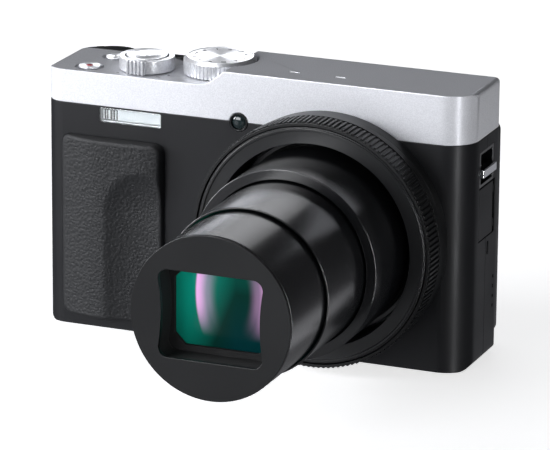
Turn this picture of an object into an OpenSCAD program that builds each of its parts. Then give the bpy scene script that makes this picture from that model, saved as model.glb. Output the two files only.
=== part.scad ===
// Compact travel-zoom digital camera, as an assembly of separate pieces.
// Millimetres. +Z is up and the lens looks along -Y.
// The origin is the mouth of the tripod thread, on the flat base.

/* [Body shell] */
// Width of the shell, end to end
body_w = 111.2; // [110:0.2:113]
// From the tripod axis forward to the front face
front_y = 14; // [13.8:0.1:14.6]
// From the tripod axis back to the rear face around the screen
back_y = 10.6; // [10.4:0.1:11]
// Height of the raised top over the lens
hump_z = 69.3; // [68.8:0.1:70]
// Height of the lower deck that carries the dials
deck_z = 65.4; // [65.2:0.1:65.8]
// Height where the black body ends and the silver top begins
band_z = 57.1; // [56.9:0.1:57.5]
// Wall thickness of the moulded covers
wall = 1.4; // [1.2:0.1:1.6]
// Front-to-back place of the seam between the front and rear covers
seam_y = -0.6; // [-1:0.1:-0.2]

/* [Lens] */
// Sideways place of the lens axis
lens_x = 20.4; // [20:0.1:20.8]
// Height of the lens axis
lens_z = 32.3; // [32.1:0.1:32.5]
// Outer radius of the knurled control ring
ring_r = 30.7; // [30.5:0.1:31]
// Outer radius of the rear barrel
barrel_1_r = 23.4; // [23.2:0.1:23.6]
// Outer radius of the middle barrel
barrel_2_r = 20.55; // [20.5:0.05:20.6]
// Outer radius of the front barrel and the nose plate
barrel_3_r = 19.7; // [19.6:0.05:19.8]
// How far the rear barrel slides out
reach_1 = 17.5; // [17:0.1:17.6]
// How far the middle barrel slides out, measured from the body
reach_2 = 40.7; // [40:0.1:40.8]
// How far the front barrel slides out, measured from the body
reach_3 = 61.2; // [60:0.1:61.3]
// Teeth round the control ring
ring_teeth = 150; // [120:2:160]

/* [Top controls] */
// Radius of the mode dial
dial_r = 9.05; // [8.8:0.05:9.1]
// Teeth round the mode dial
dial_teeth = 54; // [40:2:60]
// Radius of the zoom lever's collar
lever_r = 6.85; // [6.7:0.05:7]
// Radius of the shutter button
shutter_r = 5.15; // [5:0.05:5.2]

/* [Screen] */
// Width of the tilting screen
lcd_w = 76.4; // [76:0.1:76.6]
// Thickness of the tilting screen
lcd_t = 5.5; // [5.2:0.1:5.5]

/* [Hidden] */

half_w = body_w / 2;
gap = 0.3;
fit = 0.05;
eps = 1;
arc_steps = 12;
flank = 0.12;
round_fn = 96;

// Corner radii of the body seen from above
corner_front_left = 5;
corner_front_right = 7.5;
corner_rear_right = 4;
corner_rear_left = 7;
// Corner radii of the body seen from the front
corner_base = 2.6;
corner_top = 1.4;
// The ramp between the low deck and the raised top
ramp_foot_x = -12.5;
ramp_top_x = -7.7;
ramp_blend = 2;
top_back_y = 8;
black_top_z = 66.4;

// The screen's recess, the screen and its hinge
recess_y = 8.2;
recess_x = -22.9;
recess_top_z = 59;
lcd_x0 = recess_x + 0.4;
lcd_x1 = lcd_x0 + lcd_w;
lcd_y0 = 8.5;
lcd_y1 = lcd_y0 + lcd_t;
lcd_z0 = 3;
lcd_z1 = 56.7;
lcd_corner = 2;
lcd_hinge_y = 12.6;
lcd_hinge_z = 58.1;
lcd_hinge_r = 1.2;
lcd_pin_r = 0.6;
lcd_knuckle_l = 6;
lcd_knuckles_x = [-12, 38];
lcd_ear_w = 3.2;

// The base plate and the battery door in it
base_t = 1.2;
base_x = 52.8;
base_y0 = -11.8;
base_y1 = 7.8;
door_x1 = -13.8;
door_y1 = 1.1;
door_axis_x = -51;
door_pin_r = 0.5;
knuckle_r = base_t - 0.05;
screws_xy = [[-8, 5], [48, 4], [48, -8.4], [12, -9.4]];
screw_head_r = 1.4;
screw_r = 0.8;

// The tripod thread
bush_hole_r = 2.6;
bush_r = 4.6;
bush_h = 6.4;
bush_depth = 5.5;

// The grip pad
grip_x0 = -50.8;
grip_x1 = -23.4;
grip_z0 = 3;
grip_z1 = 49.2;
grip_seat = 0.6;
grip_corner = 2.4;
pad_t = 3.6;
pad_rise = 7;
pad_edge = 13;
scoop_r = 28.6;
scoop_x = -27;
scoop_y = -44;
scoop_z = 31;

// The flash and the focus lamp
flash_x0 = -40.7;
flash_x1 = -24.2;
flash_z0 = 53.1;
flash_z1 = 56.8;
lamp_x = -3.7;
lamp_z = 57;
lamp_r = 2.35;

// The strap lug and the port door, on the right end
side_y0 = -5.8;
side_y1 = 4.2;
lug_z0 = 44.9;
lug_z1 = 53.9;
port_z0 = 31.6;
port_z1 = 44.6;
port_t = 1.2;
port_axis_x = half_w - 0.6;
port_axis_y = 4.5;
port_pin_r = 0.35;
nick_deep = 0.7;
nick_y0 = 0.4;
nick_y1 = 1.5;
nick_z0 = 26.8;
nick_z1 = 30;

// Battery, card and boards
bay_x0 = -52.2;
bay_x1 = -13.8;
bay_y0 = -12;
bay_y1 = 1.3;
bay_z0 = 2.4;
bay_z1 = 49.6;
cell_wall = 0.7;
cell_y1 = -2.9;
card_x0 = -40.1;
card_x1 = -15.9;
card_y0 = -1.7;
card_y1 = 0.6;
card_z1 = 34.7;
board_t = 0.8;

// Fore-and-aft places along the lens axis
collar_back = -12.6;
collar_front = -26;
collar_in_r = 25.3;
collar_out_r = 28.8;
flange_r = 30.2;
flange_front = -17.2;
face_front = -26.9;
face_r = 29.4;
ring_back = -18;
ring_front = -27.2;
ring_step = -21;
housing_r = 28.5;
housing_in_r = 26.9;
housing_back = 3.6;
cam_r = 26.6;
cam_in_r = 24.9;
rear_barrel_front = -26.5 - reach_1;
rear_barrel_l = 28;
rear_barrel_in_r = 20.9;
middle_barrel_front = -26.3 - reach_2;
middle_barrel_l = 27.5;
middle_barrel_in_r = 20.05;
nose_front = -27.2 - reach_3;
nose_t = 1.2;
front_barrel_l = 25.3;
front_barrel_in_r = 18.6;
window_w = 25.7;
window_h = 21;
window_corner = 2.4;
window_bow = 0.7;
baffle_back = nose_front + 8;
baffle_w = 23.4;
baffle_h = 18.6;
baffle_cut = 2.6;

// Top controls
lever_x = -31.7;
lever_y = -5.3;
lever_z0 = deck_z + 0.3;
lever_z1 = deck_z + 3.5;
lever_in_r = shutter_r + gap;
tab_r = 7.9;
dial_x = -13.7;
dial_y = -1.7;
dial_z0 = deck_z + 0.3;
dial_z1 = deck_z + 4.5;
video_xy = [-45.6, -8.8];
video_r = 2.8;
power_xy = [-43.5, 2.1];
power_r = 2.5;
stem_z = 60.2;
mic_x = [8.2, 20.1];
mic_y = -7.7;

// Rear controls
wheel_x = -38.6;
wheel_z = 26;
wheel_r = 10.5;
wheel_in_r = 4.9;
wheel_hub_r = 6.5;
wheel_y1 = 12;
key_r = 2.6;
key_y0 = 8.6;
key_y1 = 11.4;
play_xz = [-46.5, 42.4];
fn_xz = [-31, 42.4];
trash_xz = [-46.5, 9.8];
vf_key_xz = [22, 62.7];
vf_key_r = 1.6;

// Viewfinder
evf_x0 = 32;
evf_x1 = 48;
evf_z0 = 60;
evf_z1 = 65.8;
evf_back = recess_y - wall - 0.1;

// ---- Helpers ----

module block(low, high) {
    translate(low) cube(high - low);
}

module rod_x(y, z, x0, x1, r) {
    translate([x0, y, z]) rotate([0, 90, 0]) cylinder(r = r, h = x1 - x0, $fn = round_fn);
}

module rod_y(x, z, y0, y1, r) {
    translate([x, y1, z]) rotate([90, 0, 0]) cylinder(r = r, h = y1 - y0, $fn = round_fn);
}

module rod_z(x, y, z0, z1, r) {
    translate([x, y, z0]) cylinder(r = r, h = z1 - z0, $fn = round_fn);
}

// A tube round the lens axis
module lens_tube(y0, y1, r_in, r_out) {
    difference() {
        rod_y(lens_x, lens_z, y0, y1, r_out);
        rod_y(lens_x, lens_z, y0 - eps, y1 + eps, r_in);
    }
}

// Points of a quarter-round corner, turning left from the angle a
function corner(x, y, r, a) = [for (i = [0 : arc_steps])
    [x + r * cos(a + 90 * i / arc_steps), y + r * sin(a + 90 * i / arc_steps)]];

// Points of a curve from p to q that is pulled towards c
function bend(p, c, q, n) = [for (i = [0 : n]) let (t = i / n)
    (1 - t) * (1 - t) * p + 2 * t * (1 - t) * c + t * t * q];

// Points of a rectangle with rounded corners
function rounded_box(x0, y0, x1, y1, r) = concat(
    corner(x1 - r, y0 + r, r, -90), corner(x1 - r, y1 - r, r, 0),
    corner(x0 + r, y1 - r, r, 90), corner(x0 + r, y0 + r, r, 180));

// A toothed outline: crest is the share of each pitch that a flat crest takes
function teeth(n, r, depth, crest) = [for (i = [0 : n - 1]) for (k = [0 : 3])
    let (a = 360 * (i + [0, flank, flank + crest, 2 * flank + crest][k]) / n,
        q = r - depth * [1, 0, 0, 1][k])
    [q * cos(a), q * sin(a)]];

// A flat outline in X and Z, made solid from y0 back to y1
module slab_y(points, y0, y1) {
    translate([0, y1, 0]) rotate([90, 0, 0]) linear_extrude(y1 - y0) polygon(points);
}

// The body from above, shrunk all round by inset
function plan_points(inset) = concat(
    corner(half_w - corner_front_right, corner_front_right - front_y,
        corner_front_right - inset, -90),
    corner(half_w - corner_rear_right, back_y - corner_rear_right,
        corner_rear_right - inset, 0),
    corner(corner_rear_left - half_w, back_y - corner_rear_left,
        corner_rear_left - inset, 90),
    corner(corner_front_left - half_w, corner_front_left - front_y,
        corner_front_left - inset, 180));

// The body from the front, shrunk all round by inset
function elevation_points(inset) = concat(
    corner(half_w - corner_base, corner_base, corner_base - inset, -90),
    corner(half_w - corner_top, hump_z - corner_top, max(corner_top - inset, 0.01), 0),
    [[ramp_top_x + inset / 2, hump_z - inset]],
    bend([ramp_foot_x + 1.4 + inset / 2, deck_z + 1.1 - inset],
        [ramp_foot_x + inset / 2, deck_z - inset],
        [ramp_foot_x - ramp_blend, deck_z - inset], 6),
    corner(corner_top - half_w, deck_z - corner_top, max(corner_top - inset, 0.01), 90),
    corner(corner_base - half_w, corner_base, corner_base - inset, 180));

// The closed outer form of the body, shrunk all round by inset
module envelope(inset) {
    intersection() {
        linear_extrude(hump_z + eps) polygon(plan_points(inset));
        slab_y(elevation_points(inset), -front_y - eps, back_y + eps);
    }
}

// ---- Covers ----

// Openings that pass through more than one cover
module lens_opening() {
    rod_y(lens_x, lens_z, -front_y - eps, collar_back + eps, collar_out_r + fit);
}

module lamp_opening() {
    rod_y(lamp_x, lamp_z, -front_y - eps, -front_y + wall + eps, lamp_r + fit);
}

module base_opening() {
    block([-base_x, base_y0, -eps], [base_x, base_y1, base_t + eps]);
}

module side_opening() {
    block([half_w - 5, side_y0 - fit, lug_z0 - fit], [half_w + eps, side_y1 + fit, lug_z1 + fit]);
    block([half_w - 5, side_y0 - fit, port_z0 - 0.2], [half_w + eps, port_axis_y + 1, lug_z0]);
}

module front_cover() {
    color("#2b2b2e") difference() {
        intersection() {
            difference() {
                envelope(0);
                envelope(wall);
            }
            block([-half_w - eps, -front_y - eps, -eps], [half_w + eps, seam_y, band_z]);
        }
        lens_opening();
        lamp_opening();
        base_opening();
        side_opening();
        slab_y(rounded_box(flash_x0, flash_z0, flash_x1, flash_z1, 0.5),
            -front_y - eps, -front_y + wall + eps);
        slab_y(rounded_box(grip_x0, grip_z0, grip_x1, grip_z1, grip_corner),
            -front_y - eps, -front_y + grip_seat);
    }
}

module rear_region() {
    block([-half_w - eps, seam_y, -eps], [half_w + eps, back_y + eps, band_z]);
    block([-half_w - eps, top_back_y, band_z - eps], [ramp_top_x, back_y + eps, deck_z + eps]);
    block([ramp_top_x - eps, top_back_y, band_z - eps], [half_w + eps, back_y + eps, black_top_z]);
}

module rear_hollow() {
    difference() {
        envelope(wall);
        block([recess_x - wall, recess_y - wall, -eps],
            [half_w + eps, back_y + eps, recess_top_z + wall]);
        block([ramp_top_x - eps, top_back_y - fit, black_top_z - wall],
            [half_w + eps, back_y + eps, hump_z + eps]);
    }
}

// The ears that carry the screen's hinge pins
module hinge_ears(x) {
    for (ear_x = [x - lcd_ear_w - 0.2, x + lcd_knuckle_l + 0.2]) {
        block([ear_x, back_y - wall, lcd_hinge_z - 0.9], [ear_x + lcd_ear_w, 11, 61]);
        block([ear_x, 10, lcd_hinge_z - 0.9], [ear_x + lcd_ear_w, lcd_hinge_y, lcd_hinge_z + 0.9]);
        rod_x(lcd_hinge_y, lcd_hinge_z, ear_x, ear_x + lcd_ear_w, lcd_hinge_r);
    }
}

module key_hole(xz, r) {
    rod_y(xz[0], xz[1], back_y - wall - eps, back_y + eps, r + gap);
}

module rear_cover() {
    color("#242427") difference() {
        union() {
            difference() {
                intersection() {
                    envelope(0);
                    rear_region();
                }
                rear_hollow();
                block([recess_x, recess_y, -eps], [half_w + eps, back_y + eps, recess_top_z]);
            }
            for (x = lcd_knuckles_x) hinge_ears(x);
        }
        base_opening();
        side_opening();
        rod_y(wheel_x, wheel_z, back_y - 0.8, back_y + eps, wheel_r + gap);
        rod_y(wheel_x, wheel_z, back_y - wall - eps, back_y + eps, wheel_hub_r + gap);
        for (xz = [play_xz, fn_xz, trash_xz]) key_hole(xz, key_r);
        key_hole(vf_key_xz, vf_key_r);
        block([evf_x0 - fit, back_y - wall - eps, evf_z0 - fit],
            [evf_x1 + fit, back_y + eps, evf_z1 - 0.4]);
        for (x = lcd_knuckles_x)
            rod_x(lcd_hinge_y, lcd_hinge_z, x - lcd_ear_w - eps,
                x + lcd_knuckle_l + lcd_ear_w + eps, lcd_pin_r);
        for (i = [0 : 3]) rod_x(5.4, 12.4 + 2.5 * i, half_w - wall - eps, half_w + eps, 0.4);
        block([half_w - nick_deep, nick_y0, nick_z0], [half_w + eps, nick_y1, nick_z1]);
    }
}

module top_cover() {
    color("#dcdce2") difference() {
        intersection() {
            difference() {
                envelope(0);
                envelope(wall);
            }
            block([-half_w - eps, -front_y - eps, band_z],
                [half_w + eps, top_back_y, hump_z + eps]);
        }
        lens_opening();
        lamp_opening();
        rod_z(dial_x, dial_y, deck_z, hump_z + eps, dial_r + 0.5);
        rod_z(dial_x, dial_y, band_z, hump_z + eps, 2.2);
        rod_z(lever_x, lever_y, band_z, deck_z + eps, 3.5);
        for (control = [[video_xy, video_r], [power_xy, power_r]]) {
            rod_z(control[0][0], control[0][1], deck_z - 0.6, deck_z + eps, control[1] + 0.7);
            rod_z(control[0][0], control[0][1], band_z, deck_z + eps, control[1] - 1.0);
        }
        for (x = mic_x)
            block([x - 1.35, mic_y - 0.3, hump_z - wall - eps], [x + 1.35, mic_y + 0.3, hump_z + eps]);
    }
}

module base_plate() {
    color("#1f1f21") difference() {
        block([-base_x + fit, base_y0 + fit, 0], [base_x - fit, base_y1 - fit, base_t]);
        block([-base_x - eps, base_y0 - eps, -eps], [door_x1 + gap, door_y1 + gap, base_t + eps]);
        rod_z(0, 0, -eps, base_t + eps, bush_r + fit);
        for (p = screws_xy) rod_z(p[0], p[1], -eps, base_t + eps, screw_r + fit);
        for (p = screws_xy) rod_z(p[0], p[1], -eps, 0.7, screw_head_r + fit);
    }
}

module base_screws() {
    color("#3a3a3c") for (p = screws_xy) difference() {
        union() {
            rod_z(p[0], p[1], 0.05, 0.7, screw_head_r);
            rod_z(p[0], p[1], 0.5, 4, screw_r);
        }
        block([p[0] - 0.9, p[1] - 0.17, -eps], [p[0] + 0.9, p[1] + 0.17, 0.4]);
        block([p[0] - 0.17, p[1] - 0.9, -eps], [p[0] + 0.17, p[1] + 0.9, 0.4]);
    }
}

module tripod_bush() {
    color("#b8b8ba") difference() {
        rod_z(0, 0, 0, bush_h, bush_r);
        rod_z(0, 0, -eps, bush_depth, bush_hole_r);
    }
}

// ---- Grip ----

// Thickness profile of the pad from above: thin at the outer edge, full at the fingers
function pad_profile(proud) = concat(
    [[grip_x0, -front_y + grip_seat]],
    bend([grip_x0, -front_y - 0.3], [grip_x0 + pad_rise, -front_y - proud],
        [grip_x0 + pad_edge, -front_y - proud], 10),
    bend([grip_x0 + pad_edge + 1, -front_y - proud], [grip_x1 - 0.5, -front_y - proud - 0.4],
        [grip_x1, -front_y - proud + 1.2], 8),
    [[grip_x1, -front_y + grip_seat]]);

module grip_pad() {
    color("#34343a") difference() {
        intersection() {
            translate([0, 0, grip_z0]) linear_extrude(grip_z1 - grip_z0) polygon(pad_profile(pad_t));
            slab_y(rounded_box(grip_x0, grip_z0, grip_x1, grip_z1, grip_corner),
                -front_y - 5, -front_y + grip_seat);
        }
        // The finger scoop, a shallow hollow that rounds over at its top
        translate([scoop_x, scoop_y, -2]) cylinder(r = scoop_r, h = scoop_z + 2, $fn = 192);
        translate([scoop_x, scoop_y, scoop_z]) sphere(r = scoop_r, $fn = 192);
    }
}

module thumb_rest() {
    color("#1d1d20") difference() {
        rod_z(-46, 6, 49, deck_z - 0.1, 7.2);
        envelope(0);
        block([-60, -20, 0], [0, 6, 80]);
    }
}

// ---- Flash and focus lamp ----

module flash_window() {
    color("#e8f0f4", 0.5)
        slab_y(rounded_box(flash_x0 + fit, flash_z0 + fit, flash_x1 - fit, flash_z1 - fit, 0.45),
            -front_y - 0.05, -front_y + 1.1);
}

module flash_reflector() {
    cx = (flash_x0 + flash_x1) / 2;
    cz = (flash_z0 + flash_z1) / 2;
    color("#f2f2f4") difference() {
        block([flash_x0 - 0.4, -front_y + wall + 0.1, cz - 2.6], [flash_x1 + 0.4, -6.6, cz + 2.4]);
        slab_y([for (p = [[-1, -1], [1, -1], [1, 1], [-1, 1]])
            [cx + p[0] * (flash_x1 - cx - 0.3), cz + p[1] * 1.6]], -front_y, -8.6);
        rod_x(-8.8, cz, flash_x0 - eps, flash_x1 + eps, 1.6);
    }
}

module flash_tube() {
    color("#d8dde0") rod_x(-8.8, (flash_z0 + flash_z1) / 2, flash_x0 - 0.8, flash_x1 + 0.8, 0.9);
}

module flash_capacitor() {
    color("#1a1a1c") union() {
        rod_x(-0.5, 64.4, -3, 21, 3.2);
        for (dy = [-1.2, 1.2]) rod_x(-0.5 + dy, 64.4, 20.5, 24.5, 0.35);
    }
}

module af_lamp_ring() {
    color("#1b1b1d") difference() {
        rod_y(lamp_x, lamp_z, -front_y - 0.15, -front_y + wall + 0.8, lamp_r);
        rod_y(lamp_x, lamp_z, -front_y - eps, -front_y + wall + 2, lamp_r - 0.45);
    }
}

module af_lamp_lens() {
    color("#3a2320") rod_y(lamp_x, lamp_z, -front_y + 0.35, -front_y + wall + 0.6, lamp_r - 0.45);
}

// ---- Strap lug and ports ----

module lug_bar() {
    block([half_w - 1.1, side_y0 + 0.3, 47.4], [half_w + 0.9, side_y1 - 0.3, 49.6]);
}

module lug_plate() {
    color("#1b1b1d") difference() {
        block([half_w - 4, side_y0, lug_z0], [half_w - 0.1, side_y1, lug_z1]);
        block([half_w - 3, side_y0 + 0.9, lug_z0 + 0.8], [half_w + eps, side_y1 - 0.9, lug_z1 - 0.8]);
        lug_bar();
    }
}

module strap_lug() {
    color("#d4d4d8") lug_bar();
}

module usb_socket() {
    color("#bcbcc0") difference() {
        block([49.4, -4.2, 35.4], [half_w - 1.7, 3.2, 38.6]);
        block([50.2, -3.8, 35.8], [half_w, 2.8, 38.2]);
    }
}

module port_door() {
    pin_z = [port_z0 + 1.2, port_z1 - 3.2];
    color("#1e1e20") union() {
        block([half_w - port_t, side_y0, port_z0], [half_w, port_axis_y - 0.7, port_z1]);
        for (z = pin_z) {
            block([half_w - port_t, side_y1 - 1.5, z], [half_w - 0.1, port_axis_y, z + 2]);
            rod_z(port_axis_x, port_axis_y, z, z + 2, 0.55);
            rod_z(port_axis_x, port_axis_y, z - 0.8, z + 2.8, port_pin_r);
        }
    }
}

module speaker() {
    color("#8e8e90") rod_x(3.2, 16, 50.4, half_w - wall - 0.2, 3.3);
}

// ---- Inside the body ----

module chassis() {
    color("#9a9a9c") difference() {
        union() {
            block([-12.9, -12.2, 2.2], [-11.9, 6.4, 57.3]);
            block([-50, -5, 57.3], [-11.9, 6.4, 58]);
            block([-12.9, -12.2, 2.2], [-6, 0, 3]);
        }
        for (z = [14, 30, 46]) rod_x(-3, z, -14, -11, 3.5);
        rod_z(0, 0, 0, 5, bush_r + 0.5);
    }
}

module battery_bay() {
    color("#2a2a2c") difference() {
        union() {
            block([bay_x0, bay_y0, bay_z0], [bay_x1, bay_y1, bay_z1]);
            block([bay_x0, -7, base_t], [door_axis_x + 1.1, -4, bay_z0 + eps]);
            rod_y(door_axis_x, base_t, -7, -4, 1.1);
        }
        block([bay_x0 + cell_wall, bay_y0 + 0.5, bay_z0 - eps],
            [bay_x1 - cell_wall, cell_y1, bay_z1 - 0.9]);
        block([card_x0, card_y0, bay_z0 - eps], [card_x1, card_y1, card_z1]);
        rod_y(door_axis_x, base_t, bay_y0, bay_y1, door_pin_r);
    }
}

module battery() {
    color("#3c3c40") difference() {
        block([bay_x0 + cell_wall + 0.1, bay_y0 + 0.6, bay_z0 + 0.4],
            [bay_x1 - cell_wall - 0.1, cell_y1 - 0.1, bay_z1 - 1]);
        for (i = [0 : 3])
            block([-24 + 2.4 * i, bay_y0 + 2, bay_z1 - 2], [-22.6 + 2.4 * i, bay_y0 + 6, bay_z1]);
    }
}

module memory_card() {
    color("#22304a") difference() {
        block([card_x0 + 0.1, card_y0 + 0.1, bay_z0 + 0.4], [card_x1 - 0.1, card_y1 - 0.1, card_z1 - 0.1]);
        translate([card_x1, 0, card_z1]) rotate([0, 45, 0]) cube([4.4, 8, 4.4], center = true);
    }
}

module main_board() {
    color("#1f5a3a") union() {
        block([-52, 2.4, 4], [-14.4, 2.4 + board_t, 50]);
        block([-44, 3, 12], [-30, 4.6, 26]);
        block([-26, 3, 30], [-17, 4.4, 40]);
        block([-48, 3, 36], [-38, 4.2, 44]);
    }
}

module top_board() {
    color("#1f5a3a") union() {
        block([-50, -9.6, 58.6], [-8, 6, 58.6 + board_t]);
        for (p = [[lever_x, lever_y], video_xy, power_xy]) rod_z(p[0], p[1], 59, 59.9, 1.9);
        block([dial_x - 4, dial_y - 4, 59], [dial_x + 4, dial_y + 4, 60.8]);
    }
}

// ---- Lens ----

module lens_collar() {
    color("#1a1a1c") union() {
        lens_tube(collar_front, collar_back, collar_in_r, collar_out_r);
        lens_tube(flange_front, -front_y, collar_out_r - eps, flange_r);
    }
}

module face_ring() {
    color("#262628") difference() {
        union() {
            lens_tube(face_front, collar_front, collar_in_r, face_r);
            lens_tube(face_front - 0.35, face_front, face_r - 1, face_r - 0.35);
        }
    }
}

module lens_housing() {
    color("#303033") difference() {
        union() {
            rod_y(lens_x, lens_z, collar_back + 0.1, housing_back, housing_r);
            block([lens_x - 24, 1.6, 8], [lens_x - 17, housing_back, 13]);
            block([lens_x + 17, 1.6, 50], [lens_x + 26, housing_back, 55.5]);
        }
        rod_y(lens_x, lens_z, collar_back - eps, housing_back - 1.2, housing_in_r);
        block([lens_x - 5, 0, lens_z - 4], [lens_x + 5, housing_back + eps, lens_z + 4]);
    }
}

module cam_ring() {
    color("#5a5a5e") difference() {
        lens_tube(collar_back + 0.4, housing_back - 1.6, cam_in_r, cam_r);
        for (i = [0 : 2])
            translate([lens_x, 0, lens_z]) rotate([0, 120 * i, 0]) translate([0, -5.2, 20])
                rotate([0, 0, 50]) block([-7, -0.9, 0], [7, 0.9, 10]);
    }
}

module image_sensor() {
    color("#2c3550") block([lens_x - 4.8, housing_back - 1.1, lens_z - 3.8],
        [lens_x + 4.8, housing_back + 0.9, lens_z + 3.8]);
}

module sensor_board() {
    color("#1f5a3a") block([lens_x - 13, housing_back + 1, lens_z - 11],
        [lens_x + 13, housing_back + 1 + board_t, lens_z + 11]);
}

module zoom_motor() {
    color("#a8a8ac") union() {
        rod_y(46.4, 8.6, -11, 1, 3.7);
        rod_y(46.4, 8.6, 0.5, 3, 1.2);
    }
}

module rear_barrel() {
    back = rear_barrel_front + rear_barrel_l;
    color("#141416") difference() {
        union() {
            rod_y(lens_x, lens_z, rear_barrel_front, back, barrel_1_r);
            rod_y(lens_x, lens_z, back - 1.5, back, cam_in_r - gap);
        }
        rod_y(lens_x, lens_z, rear_barrel_front - eps, back + eps, rear_barrel_in_r);
    }
}

module middle_barrel() {
    color("#141416") lens_tube(middle_barrel_front, middle_barrel_front + middle_barrel_l,
        middle_barrel_in_r, barrel_2_r);
}

module front_barrel() {
    color("#141416") lens_tube(nose_front + nose_t, nose_front + nose_t + front_barrel_l,
        front_barrel_in_r, barrel_3_r);
}

// The window in the nose: a rectangle whose two sides bow inwards
function window_points(w, h, r, bow) = concat(
    corner(lens_x + w / 2 - r, lens_z - h / 2 + r, r, -90),
    bend([lens_x + w / 2, lens_z - h / 2 + r], [lens_x + w / 2 - 2 * bow, lens_z],
        [lens_x + w / 2, lens_z + h / 2 - r], 8),
    corner(lens_x + w / 2 - r, lens_z + h / 2 - r, r, 0),
    corner(lens_x - w / 2 + r, lens_z + h / 2 - r, r, 90),
    bend([lens_x - w / 2, lens_z + h / 2 - r], [lens_x - w / 2 + 2 * bow, lens_z],
        [lens_x - w / 2, lens_z - h / 2 + r], 8),
    corner(lens_x - w / 2 + r, lens_z - h / 2 + r, r, 180));

module nose_plate() {
    color("#232325") difference() {
        rod_y(lens_x, lens_z, nose_front, nose_front + nose_t, barrel_3_r);
        slab_y(window_points(window_w, window_h, window_corner, window_bow),
            nose_front - eps, nose_front + nose_t + eps);
    }
}

// An octagonal outline: a rectangle with its corners cut off
function cut_box(w, h, c) = [for (s = [[1, -1, 0], [1, -1, 1], [1, 1, 1], [1, 1, 0],
        [-1, 1, 0], [-1, 1, 1], [-1, -1, 1], [-1, -1, 0]])
    [lens_x + s[0] * (w / 2 - (s[2] == 0 ? c : 0)), lens_z + s[1] * (h / 2 - (s[2] == 0 ? 0 : c))]];

module lens_baffle() {
    color("#0c0c0d") difference() {
        rod_y(lens_x, lens_z, nose_front + nose_t, baffle_back, front_barrel_in_r);
        slab_y(window_points(window_w + 0.6, window_h + 0.6, window_corner, window_bow),
            nose_front, baffle_back - 1);
        slab_y(cut_box(baffle_w, baffle_h, baffle_cut), nose_front, baffle_back + eps);
    }
}

module front_element() {
    dome_r = 42;
    color("#2f7a66", 0.6) intersection() {
        translate([lens_x, baffle_back + dome_r - 2.2, lens_z]) rotate([90, 0, 0])
            sphere(r = dome_r, $fn = round_fn);
        rod_y(lens_x, lens_z, baffle_back, baffle_back + 5, front_barrel_in_r);
    }
}

module zoom_group() {
    back = middle_barrel_front + middle_barrel_l - 0.1;
    color("#39393c") union() {
        lens_tube(back - 1.2, back, 9.5, middle_barrel_in_r);
        lens_tube(back - 10, back, 9.5, 12);
        rod_y(lens_x, lens_z, back - 9, back - 4, 10);
    }
}

module face_teeth(n, r, depth, y0, y1) {
    translate([lens_x, y1, lens_z]) rotate([90, 0, 0]) linear_extrude(y1 - y0)
        polygon(teeth(n, r, depth, 0.4));
}

module control_ring() {
    color("#1b1b1e") difference() {
        union() {
            face_teeth(ring_teeth, ring_r, 0.45, ring_front + 0.5, ring_step);
            rod_y(lens_x, lens_z, ring_front, ring_front + 0.6, ring_r - 0.35);
            rod_y(lens_x, lens_z, ring_step, ring_step + 0.9, ring_r - 0.5);
            rod_y(lens_x, lens_z, ring_step + 0.8, ring_back, ring_r - 0.15);
        }
        rod_y(lens_x, lens_z, ring_front - eps, ring_back + eps, collar_out_r + gap);
        rod_y(lens_x, lens_z, ring_front - eps, collar_front + 0.3, face_r + gap);
    }
}

// ---- Viewfinder ----

module evf_housing() {
    color("#232325") difference() {
        block([evf_x0, -7, evf_z0], [evf_x1, evf_back, evf_z1 + 1.4]);
        block([evf_x0 + 1, -6, evf_z0 + 1], [evf_x1 - 1, evf_back + eps, evf_z1 - 0.6]);
    }
}

module eyepiece_frame() {
    color("#151517") difference() {
        block([evf_x0, 9, evf_z0], [evf_x1, 10.95, evf_z1 - 0.45]);
        block([evf_x0 + 2, 8, evf_z0 + 1], [evf_x1 - 2, 12, evf_z1 - 1.4]);
    }
}

module eyepiece_lens() {
    color("#26304a", 0.7) block([evf_x0 + 2, 9, evf_z0 + 1], [evf_x1 - 2, 10.4, evf_z1 - 1.4]);
}

// ---- Top controls ----

module mode_dial() {
    color("#d0d0d4") difference() {
        union() {
            translate([dial_x, dial_y, dial_z0]) linear_extrude(dial_z1 - 0.8 - dial_z0)
                polygon(teeth(dial_teeth, dial_r, 0.35, 0.58));
            translate([dial_x, dial_y, dial_z1 - 0.8])
                cylinder(r1 = dial_r - 0.1, r2 = dial_r - 0.75, h = 0.8, $fn = round_fn);
            rod_z(dial_x, dial_y, 61, dial_z0 + 0.5, 1.9);
        }
        rod_z(dial_x, dial_y, dial_z1 - 0.15, dial_z1 + eps, dial_r - 1.1);
    }
}

module zoom_lever() {
    rib_pitch = 1;
    rib_w = 0.56;
    rib_deep = 0.75;
    tab_half = 2.45;
    color("#d4d4d8") difference() {
        union() {
            rod_z(lever_x, lever_y, lever_z0, lever_z1, lever_r);
            rod_z(lever_x, lever_y, stem_z + 1, lever_z0 + 0.5, 3.2);
            block([lever_x - tab_half, lever_y - tab_r + rib_deep, lever_z0],
                [lever_x + tab_half, lever_y - lever_in_r, lever_z1 + 0.2]);
            for (i = [-2 : 2])
                block([lever_x + i * rib_pitch - rib_w / 2, lever_y - tab_r, lever_z0],
                    [lever_x + i * rib_pitch + rib_w / 2, lever_y - tab_r + rib_deep + 0.1,
                        lever_z1 + 0.2]);
        }
        rod_z(lever_x, lever_y, lever_z0 + 0.7, lever_z1 + eps, lever_in_r);
        rod_z(lever_x, lever_y, stem_z, lever_z1, 1.5);
    }
}

module shutter_button() {
    color("#dcdce0") difference() {
        union() {
            rod_z(lever_x, lever_y, lever_z1 - 1.1, lever_z1 + 0.2, shutter_r);
            rod_z(lever_x, lever_y, stem_z + 1, lever_z1 - 1, 1.2);
        }
        translate([lever_x, lever_y, lever_z1 + 20]) sphere(r = 20.1, $fn = round_fn);
    }
}

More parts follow.
